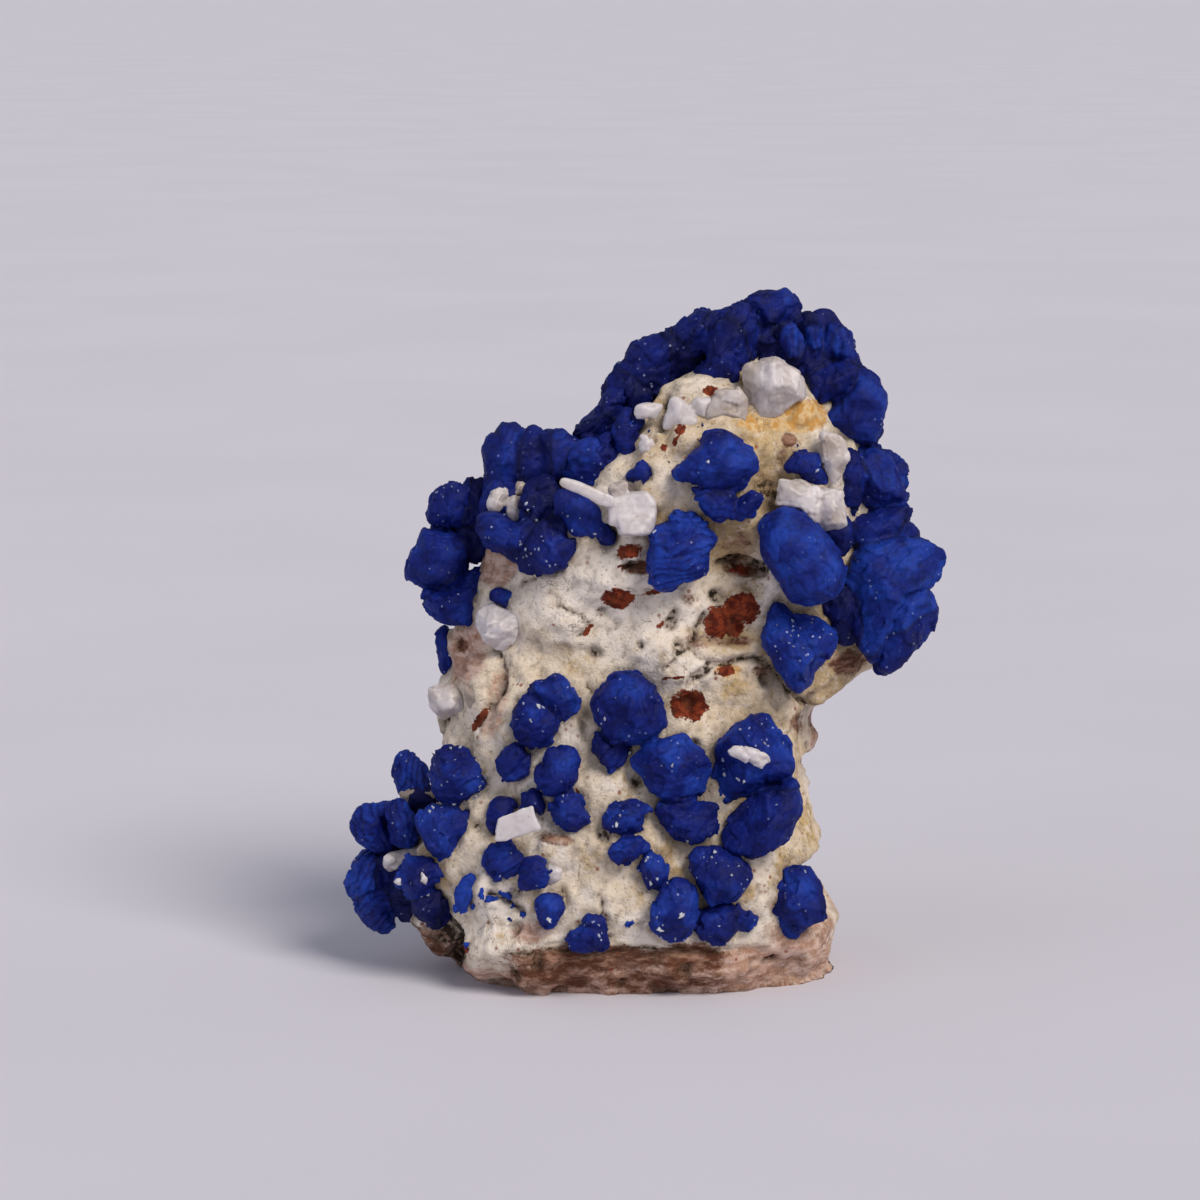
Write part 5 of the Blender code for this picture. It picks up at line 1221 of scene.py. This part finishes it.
CALCITES = [
    Cluster("calcite_crown_lump", [
        Growth(8.7, 39.7, 1.65, 1.85, 90, -5.4, L, tone=0.55, edge=Outline(-6, (
            (6.7, 40.0), (6.6, 40.6), (6.7, 41.3), (7.0, 41.6), (7.5, 41.5), (7.8, 41.8), (8.3, 42.0), (8.9, 42.0),
            (9.3, 41.8), (9.8, 41.5), (10.3, 41.2), (10.6, 40.7), (10.8, 40.0), (10.8, 39.3), (10.2, 39.1), (9.7, 38.6),
            (9.0, 38.1), (8.2, 37.9), (7.4, 38.2), (6.9, 38.9)))),
        Growth(5.9, 38.7, 1.2, 0.8, 0, -6.2, L, tone=0.3, edge=Outline(-6, (
            (4.7, 39.4), (5.0, 39.8), (5.7, 40.0), (6.6, 40.0), (7.0, 39.3), (7.0, 38.4), (6.9, 37.6), (6.2, 37.2),
            (5.2, 37.3), (4.5, 37.5), (4.2, 38.0), (4.3, 38.8)))),
    ]),
    Cluster("calcite_rhomb", [
        Growth(2.7, 38.4, 0.82, 0.9, 60, -6.3, C, tone=0.85, edge=Outline(-6, (
            (1.5, 37.6), (1.7, 38.4), (1.95, 39.3), (2.3, 39.5), (2.7, 39.3), (3.2, 38.8), (3.6, 38.2), (3.9, 37.7),
            (3.4, 37.2), (2.6, 37.3), (1.9, 37.2), (1.5, 37.2)))),
        Growth(4.0, 38.8, 0.6, 0.7, 40, -6.1, C, tone=0.8, edge=Outline(-6, (
            (3.3, 39.0), (3.7, 39.4), (4.4, 39.4), (4.7, 39.3), (4.6, 38.5), (4.3, 38.0), (3.8, 38.2), (3.4, 38.7)))),
    ]),
    Cluster("calcite_crown_flake", [Growth(0.7, 38.5, 0.9, 0.5, 5, -6.0, C, tone=1.0, edge=Outline(-6, (
        (-0.4, 38.3), (-0.3, 38.8), (0.1, 39.0), (1.0, 39.0), (1.55, 38.9), (1.4, 38.4), (1.1, 38.0), (0.6, 38.0),
        (-0.2, 37.9))))]),
    Cluster("calcite_knobs", [Growth(0.5, 36.2, 0.6, 0.9, 60, None, L, tone=0.7, edge=Outline(-6, (
        (-0.2, 36.2), (0.1, 36.8), (0.5, 36.9), (0.9, 36.5), (1.1, 36.1), (1.1, 35.6), (0.6, 35.3), (0.2, 35.6),
        (-0.1, 35.8))))]),
    Cluster("calcite_rod_block", [
        Growth(-0.5, 32.5, 1.3, 1.35, 10, -8.6, C, tone=0.9, faces=((90, 18, 0.66), (270, 14, 0.72)), edge=Outline(-9, (
            (-2.0, 33.3), (-1.6, 33.3), (-0.5, 33.5), (0.5, 33.6), (1.0, 33.0), (1.1, 32.2), (1.0, 31.4), (0.8, 30.8),
            (0.0, 30.7), (-0.8, 30.7), (-1.4, 30.75), (-1.5, 31.3), (-2.1, 31.4), (-2.1, 32.4)))),
        Growth(-0.3, 31.6, 1.1, 0.8, 10, -9.2, C, tone=0.95, faces=((90, 30, 0.6),), edge=Outline(-9, (
            (-1.5, 32.0), (-0.6, 32.3), (0.4, 32.1), (1.0, 32.0), (1.0, 31.4), (0.8, 30.8), (0.0, 30.7), (-0.8, 30.7),
            (-1.4, 30.75)))),
        Growth(-3.6, 33.5, 0.4, 0.36, -24, -9.6, C, tone=0.75, edge=Outline(-9, (
            (-5.3, 34.0), (-5.2, 34.4), (-4.8, 34.5), (-3.8, 34.1), (-2.8, 33.7), (-1.6, 33.2), (-1.6, 32.6),
            (-2.2, 32.5), (-2.8, 32.7), (-3.4, 33.1), (-4.2, 33.5), (-5.1, 33.85)))),
        Growth(-1.4, 33.9, 0.5, 0.5, 0, -8.3, L, tone=0.4, edge=Outline(-9, (
            (-2.1, 33.9), (-1.8, 34.2), (-1.0, 34.4), (-0.7, 33.9), (-1.0, 33.2), (-1.9, 33.2)))),
    ]),
    Cluster("calcite_right_leaf", [Growth(12.6, 35.5, 0.76, 1.6, -60, -6.8, L, tone=0.45, edge=Outline(-9, (
        (11.6, 37.4), (12.2, 37.5), (12.9, 37.2), (13.3, 36.7), (13.6, 36.0), (13.4, 35.4), (13.0, 34.7), (12.6, 34.0),
        (12.2, 34.2), (11.8, 35.2), (11.5, 36.2))))]),
    Cluster("calcite_right_lump", [
        Growth(10.2, 33.1, 1.4, 1.0, 10, None, L, tone=0.6, edge=Outline(-9, (
            (8.9, 34.4), (10.5, 34.3), (11.5, 33.9), (11.8, 32.5), (11.5, 31.2), (10.8, 31.8), (10.2, 32.3),
            (9.4, 32.6), (8.7, 32.6)))),
        Growth(12.0, 32.6, 1.5, 1.6, 70, -6.8, L, tone=0.55, edge=Outline(-9, (
            (11.3, 33.9), (12.5, 33.8), (13.2, 33.5), (13.3, 32.0), (13.4, 31.4), (12.9, 31.1), (12.0, 30.9),
            (11.5, 31.2), (10.9, 31.8)))),
    ]),
    Cluster("calcite_left_lump", [Growth(-9.4, 23.8, 1.3, 1.45, 20, None, L, tone=0.8, edge=Outline(-4, (
        (-10.9, 24.2), (-10.7, 24.9), (-10.2, 25.4), (-9.6, 25.5), (-9.2, 25.2), (-8.7, 25.0), (-8.1, 24.8),
        (-7.9, 24.3), (-8.0, 23.5), (-8.4, 22.6), (-9.2, 22.3), (-9.8, 22.5), (-10.4, 23.1), (-10.8, 23.7))))]),
    Cluster("calcite_plate", [Growth(-8.1, 12.0, 1.3, 0.4, 15, -10.9, C, tone=1.0, faces=((90, 6, 0.5),),
                                     edge=Outline(-10, (
        (-9.5, 10.7), (-9.4, 11.5), (-9.3, 12.2), (-8.3, 12.6), (-7.8, 12.85), (-6.95, 13.1), (-6.85, 12.5),
        (-6.65, 12.0), (-6.4, 11.5), (-7.1, 11.3), (-7.6, 11.0), (-8.3, 10.9), (-8.8, 10.6))))]),
    Cluster("calcite_edge_lump", [Growth(-13.1, 18.0, 1.2, 1.3, 40, -3.4, L, tone=0.4, edge=Outline(-4, (
        (-14.1, 19.2), (-14.0, 19.8), (-13.2, 19.9), (-12.3, 20.0), (-11.8, 19.8), (-11.6, 19.2), (-11.4, 18.4),
        (-11.6, 18.0), (-12.3, 17.9), (-13.0, 17.6), (-13.5, 18.0), (-14.0, 18.5))))]),
    Cluster("calcite_ledge_block", [
        Growth(-15.4, 8.4, 1.5, 0.7, 10, -3.4, L, tone=0.35, edge=Outline(-5, (
            (-17.1, 7.7), (-17.1, 8.3), (-16.6, 8.8), (-15.6, 9.1), (-14.6, 9.3), (-13.9, 9.2), (-13.8, 8.4),
            (-14.6, 8.0), (-15.6, 8.1), (-16.2, 7.5), (-16.7, 7.4)))),
        Growth(-16.7, 8.1, 0.45, 0.45, 0, -4.2, L, tone=0.8),
        # A lump at the darkest tone: painted shade where the rock lies deep between the crystals.
        Growth(-14.9, 12.0, 1.2, 0.8, 0, -1.6, L, tone=0.0),
    ]),
    Cluster("calcite_pink_block", [Growth(-10.4, 18.9, 0.9, 1.5, 70, -4.8, L, tone=0.1, edge=Outline(-4, (
        (-11.7, 19.4), (-11.6, 19.9), (-11.0, 20.1), (-10.4, 19.9), (-9.9, 19.6), (-9.9, 19.0), (-10.2, 18.5),
        (-10.6, 18.2), (-11.1, 18.0), (-11.4, 18.5))))]),
    Cluster("calcite_low_chip", [Growth(-5.2, 8.4, 0.65, 0.8, 30, None, C, tone=0.9, edge=Outline(-11, (
        (-6.0, 9.5), (-5.4, 9.3), (-5.0, 9.0), (-5.1, 8.4), (-5.9, 8.0), (-6.3, 8.2), (-6.2, 8.9))))]),
]

# White crusts that sit on the azurite, read where the camera sees them.
CRUSTS = [
    Cluster("calcite_crust_shoulder", [
        Growth(-9.2, 32.8, 0.45, 0.7, 40, None, R, tone=0.45, seen=True, edge=Outline(-7, (
            (-10.0, 32.4), (-9.7, 33.3), (-9.2, 33.6), (-8.6, 33.5), (-8.5, 33.1), (-8.8, 32.8), (-9.0, 32.3),
            (-9.3, 32.0), (-9.8, 32.0)))),
        Growth(-8.2, 32.1, 0.48, 0.8, 80, None, R, tone=0.5, seen=True, edge=Outline(-7, (
            (-8.85, 32.0), (-8.9, 32.6), (-8.6, 32.9), (-8.1, 33.1), (-7.7, 33.0), (-7.7, 32.4), (-7.6, 32.0),
            (-7.7, 31.5), (-8.0, 31.2), (-8.4, 31.4), (-8.8, 31.7)))),
        Growth(-7.8, 33.5, 0.42, 0.5, 70, None, R, tone=0.5, seen=True, edge=Outline(-7, (
            (-8.2, 33.1), (-8.2, 33.8), (-8.0, 34.1), (-7.5, 34.0), (-7.2, 33.7), (-7.4, 33.2), (-7.7, 32.9)))),
    ]),
    Cluster("calcite_crust_cap", [Growth(7.0, 16.3, 0.42, 0.6, -15, None, R, tone=0.9, seen=True, edge=Outline(-10, (
        (5.6, 16.7), (5.9, 17.0), (6.5, 17.0), (7.2, 16.9), (7.7, 16.8), (8.2, 16.5), (8.5, 16.2), (8.4, 15.8),
        (7.9, 15.5), (7.3, 15.7), (6.8, 15.9), (6.2, 16.2), (5.8, 16.4))))]),
    Cluster("calcite_crust_ledge", [
        Growth(-16.0, 6.8, 0.3, 0.3, 0, None, L, tone=1.0, seen=True, edge=Outline(-5, (
            (-16.45, 6.8), (-16.2, 7.05), (-15.9, 7.1), (-15.6, 6.9), (-15.7, 6.6), (-16.1, 6.5)))),
        Growth(-14.4, 7.1, 0.3, 0.4, 80, None, L, tone=1.0, seen=True, edge=Outline(-5, (
            (-14.75, 7.2), (-14.5, 7.6), (-14.3, 7.4), (-14.1, 6.9), (-14.2, 6.6), (-14.6, 6.8)))),
    ]),
]


@dataclass(frozen=True)
class Dusting:
    """Loose grains that lie on the crystals and the rock, some of them painted glints: (x, z, size) as seen in a plane
    at depth y.
    """

    name: str
    y: float
    grains: tuple

    def build(self, carrier: "Skins", mineral: Mineral) -> None:
        """Builds the grains and the glints, each an uneven little crystal that stands half proud of what carries it.

        Args:
            carrier: the surfaces in millimetres that the grains lie on.
            mineral: what they are of.
        """
        bm = bmesh.new()
        paint = bm.verts.layers.float_color.new("skin")
        for number, (x, z, size) in enumerate(self.grains):
            way = (Vector((x, self.y, z)) - EYE).normalized()
            place = carrier.ray_cast(EYE, way)[0]
            made = bmesh.ops.create_icosphere(bm, subdivisions=2, radius=size)["verts"]
            for vert in made:
                vert.co *= 0.75 + 0.9 * noise.noise(vert.co / size * 1.3 + Vector((number * 7.7, 0, 0)))
                vert[paint] = (clamp(size / 0.16 - 0.4), 0.0, 0.4, 1)
            turn = Euler([6 * pseudo(number, x, axis) for axis in (1, 2, 3)]).to_matrix().to_4x4()
            shape = Matrix.Translation(place) @ turn @ Matrix.Diagonal((1.3, 0.8, 0.9, 1))
            bmesh.ops.transform(bm, matrix=shape, verts=made)
        finish_piece(self.name, bm, mineral.finish, mineral.slot)


# White calcite grains, and painted glints: pale little grains put where a plate throws the light back.
WHITE_GRAINS_AND_GLINTS = [
    Dusting("calcite_grains_and_glints_crown", -9, (
        (4.4, 35.5, 0.15), (11.4, 34.9, 0.13), (0.9, 30.9, 0.14), (3.4, 33.4, 0.08), (9.9, 25.1, 0.12),
        (9.9, 24.4, 0.1), (9.8, 24.1, 0.09), (10.4, 24.6, 0.08), (10.3, 24.1, 0.1), (9.7, 23.6, 0.11), (10.0, 23.4, 0.1),
        (11.2, 25.2, 0.08), (12.4, 24.2, 0.08), (8.9, 24.8, 0.08), (8.9, 23.1, 0.08), (10.6, 23.3, 0.07),
        (11.9, 24.5, 0.07), (-4.4, 31.0, 0.1), (-2.9, 30.8, 0.14), (-3.9, 31.8, 0.08), (-1.4, 31.2, 0.07))),
    Dusting("calcite_grains_and_glints_shoulder", -7, (
        (-6.75, 31.4, 0.12), (-7.8, 30.0, 0.11), (-7.8, 29.8, 0.12), (-7.45, 29.5, 0.1), (-6.6, 29.5, 0.1),
        (-6.85, 29.5, 0.08), (-7.1, 29.25, 0.1), (-7.6, 28.95, 0.1), (-7.4, 29.05, 0.1), (-8.0, 28.9, 0.11),
        (-9.3, 29.15, 0.09), (-6.1, 28.7, 0.11), (-5.9, 28.4, 0.09), (-6.4, 30.35, 0.08), (-6.3, 30.05, 0.08),
        (-5.7, 30.5, 0.07), (-9.85, 30.25, 0.07), (-7.4, 32.5, 0.14), (-7.3, 32.1, 0.12), (-6.9, 32.3, 0.08))),
    Dusting("calcite_grains_and_glints_left", -3, (
        (-13.4, 32.7, 0.1), (-12.9, 33.0, 0.1), (-12.4, 33.1, 0.09), (-13.0, 32.4, 0.07), (-12.0, 32.8, 0.08),
        (-14.0, 31.6, 0.07), (-13.3, 31.2, 0.07), (-12.0, 25.9, 0.1), (-12.6, 25.4, 0.07), (-13.1, 25.1, 0.07),
        (-10.7, 26.1, 0.13), (-12.6, 21.8, 0.13), (-13.9, 27.6, 0.06), (-12.7, 28.9, 0.06))),
    Dusting("calcite_grains_and_glints_middle", -9.5, (
        (-7.6, 19.7, 0.11), (-6.6, 19.5, 0.2), (-6.3, 19.45, 0.12), (-7.1, 18.6, 0.13), (-8.0, 18.7, 0.09),
        (-2.7, 19.3, 0.11), (-2.3, 18.7, 0.12), (-2.5, 18.4, 0.1), (-0.7, 17.6, 0.09), (-0.7, 16.4, 0.2),
        (2.1, 15.6, 0.14), (1.4, 15.6, 0.09), (3.1, 10.6, 0.14), (-1.5, 11.7, 0.19), (-1.3, 12.3, 0.11),
        (-1.1, 12.6, 0.07), (-5.0, 13.6, 0.11), (-1.6, 20.1, 0.07))),
    Dusting("calcite_grains_and_glints_right", -10, (
        (5.5, 15.1, 0.17), (5.45, 15.5, 0.08), (6.4, 14.8, 0.14), (6.8, 14.65, 0.14), (5.4, 16.1, 0.12),
        (6.5, 18.1, 0.13), (8.1, 17.2, 0.12), (7.9, 17.4, 0.08), (9.3, 17.2, 0.08), (8.9, 13.1, 0.1), (4.7, 9.6, 0.12),
        (4.9, 9.95, 0.15), (4.2, 9.6, 0.09), (4.4, 9.3, 0.07), (6.0, 8.4, 0.12), (6.45, 9.0, 0.12), (7.0, 8.1, 0.1),
        (6.8, 7.5, 0.09), (9.0, 5.6, 0.13), (9.05, 5.35, 0.11), (10.8, 8.65, 0.12), (8.2, 6.3, 0.07),
        (5.2, 5.0, 0.1), (7.5, 5.4, 0.07))),
    Dusting("calcite_grains_and_glints_low", -11, (
        (0.5, 9.8, 0.13), (0.4, 9.65, 0.13), (0.7, 8.1, 0.15), (1.1, 8.4, 0.14), (2.7, 6.0, 0.22), (1.3, 5.0, 0.23),
        (1.1, 5.8, 0.1), (1.5, 5.3, 0.09), (2.3, 4.4, 0.1), (1.4, 4.5, 0.11), (-5.95, 5.7, 0.2), (-3.1, 5.5, 0.12),
        (-2.7, 5.3, 0.09), (-3.6, 5.3, 0.08), (-2.7, 4.6, 0.14), (-2.5, 4.75, 0.09), (-9.1, 8.6, 0.1),
        (-8.4, 10.1, 0.09), (-8.4, 7.7, 0.12), (1.8, 8.1, 0.12))),
    Dusting("calcite_grains_and_glints_ledge", -5, (
        (-12.5, 15.85, 0.13), (-11.9, 15.9, 0.13), (-12.2, 15.1, 0.08), (-12.3, 14.0, 0.07), (-13.1, 13.4, 0.1),
        (-11.8, 12.8, 0.09), (-12.3, 12.1, 0.13), (-11.6, 12.1, 0.08), (-10.8, 12.6, 0.14), (-10.6, 12.75, 0.12),
        (-11.0, 12.45, 0.1), (-10.6, 13.3, 0.13), (-10.2, 13.9, 0.12), (-10.4, 13.6, 0.09), (-13.7, 11.85, 0.14),
        (-13.9, 11.6, 0.13), (-13.4, 12.1, 0.12), (-18.9, 8.3, 0.1), (-15.6, 10.0, 0.08), (-16.4, 11.5, 0.08),
        (-14.1, 5.9, 0.13), (-14.5, 5.8, 0.08), (-15.2, 6.7, 0.08))),
]

BLUE_FLECKS = [
    Dusting("azurite_flecks_low", -10, (
        (-9.9, 6.85, 0.38), (-9.5, 6.8, 0.25), (-10.35, 7.15, 0.3), (-8.8, 7.15, 0.4), (-8.5, 7.05, 0.25),
        (-8.35, 6.3, 0.24), (-7.6, 5.65, 0.3), (-10.9, 6.35, 0.26), (-8.5, 5.45, 0.15), (-11.3, 3.7, 0.28),
        (-0.75, 5.1, 0.3), (-0.5, 5.25, 0.2), (-5.4, 5.4, 0.15), (-6.2, 4.9, 0.13))),
    Dusting("azurite_flecks_top", -6, (
        (0.2, 37.8, 0.16), (0.6, 37.1, 0.14), (-0.6, 37.6, 0.2), (1.9, 35.1, 0.08), (4.1, 37.5, 0.12), (3.8, 37.4, 0.08),
        (10.3, 36.2, 0.1))),
]


@dataclass(frozen=True)
class Skins:
    """Several surfaces that a ray may meet."""

    trees: tuple

    def ray_cast(self, start: Vector, way: Vector) -> tuple:
        """The nearest place that a ray meets, as BVHTree.ray_cast gives it."""
        hits = [tree.ray_cast(start, way) for tree in self.trees]
        return min((hit for hit in hits if hit[0]), key=lambda hit: hit[3])


# Studio ----------------------------------------------------------------------------------------


@dataclass(frozen=True)
class Studio:
    """A plain pale floor, soft light and the camera."""

    lens: float = 120.0
    floor: str = "#cfcedb"
    floor_patch: str = "#d2d1dd"
    room: str = "#dfe1ea"
    room_light: float = 0.42

    def build(self) -> None:
        """Sets up the floor, the lights, the surroundings and the camera."""
        bpy.context.scene.view_settings.view_transform = "Standard"
        self.add_floor()
        self.add_light("key", (150, -190, 240), 28, 2.6, "#fff6ea")
        self.add_light("fill", (-260, -190, 110), 60, 0.55, "#edf1ff")
        world = bpy.data.worlds.new("soft_room")
        world.use_nodes = True
        background = world.node_tree.nodes["Background"]
        background.inputs["Color"].default_value = linear(self.room)
        background.inputs["Strength"].default_value = self.room_light
        bpy.context.scene.world = world
        self.add_camera()

    def add_floor(self) -> None:
        """Adds the floor, which is no part of the specimen."""
        bm = bmesh.new()
        bmesh.ops.create_grid(bm, x_segments=1, y_segments=1, size=60.0)
        mesh = bpy.data.meshes.new("floor")
        bm.to_mesh(mesh)
        bm.free()
        paper = Shades("plain_paper_floor")
        colour = paper.mix(paper.between(paper.cloud(60, 3, 0.55), 0.3, 0.7), self.floor, self.floor_patch)
        mesh.materials.append(paper.finish(colour, {"Roughness": 0.95}))
        floor = bpy.data.objects.new("floor", mesh)
        bpy.context.scene.collection.objects.link(floor)

    def add_light(self, name: str, place: tuple, width: float, power: float, colour: str) -> None:
        """Adds a distant soft light: the place that it shines from, its width in degrees and its power."""
        light = bpy.data.lights.new(name, "SUN")
        light.angle = math.radians(width)
        light.energy = power
        light.color = linear(colour)[:3]
        lamp = bpy.data.objects.new(name, light)
        lamp.location = Vector(place) * MM
        lamp.rotation_euler = (Vector((0, 0, 22)) - Vector(place)).to_track_quat("-Z", "Y").to_euler()
        bpy.context.scene.collection.objects.link(lamp)

    def add_camera(self) -> None:
        """Adds the camera, a little above the specimen and level with its middle."""
        data = bpy.data.cameras.new("camera")
        data.lens = self.lens
        data.sensor_width = 36.0
        data.clip_start = 0.01
        data.clip_end = 200.0
        camera = bpy.data.objects.new("camera", data)
        camera.location = EYE * MM
        camera.rotation_euler = (math.pi / 2 - ELEVATION, 0, 0)
        bpy.context.scene.collection.objects.link(camera)
        bpy.context.scene.camera = camera


def main() -> None:
    """Builds every piece of the specimen and the studio."""
    logging.basicConfig(level=logging.INFO, format="%(message)s")
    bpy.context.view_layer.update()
    surface = BVHTree.FromBMesh(mesh_in_mm("host_rock"))
    azurite = Mineral("_rosettes", "azurite", AzuriteFinish().material())
    calcite = Mineral("_crystals", "calcite", CalciteFinish().material())
    bodies = bmesh.new()
    skins = [cluster.build(surface, azurite, bodies) for cluster in AZURITES]
    skins += [cluster.build(surface, calcite) for cluster in CALCITES]
    skins.append(HostRock().build(HostRockFinish().material(), BVHTree.FromBMesh(bodies)))
    bodies.free()
    skins += [cluster.build(Skins(tuple(skins)), calcite) for cluster in CRUSTS]
    # Pale grains, some of which are painted glints where a plate throws the light back.
    grains = Mineral("_grains", "calcite", CalciteFinish("pale_grains_and_glints", "#dcdfe8", "#6f80c0").material())
    for dusting in WHITE_GRAINS_AND_GLINTS:
        dusting.build(Skins(tuple(skins)), grains)
    for dusting in BLUE_FLECKS:
        dusting.build(Skins(tuple(skins)), azurite)
    Studio().build()


if __name__ == "__main__":
    main()
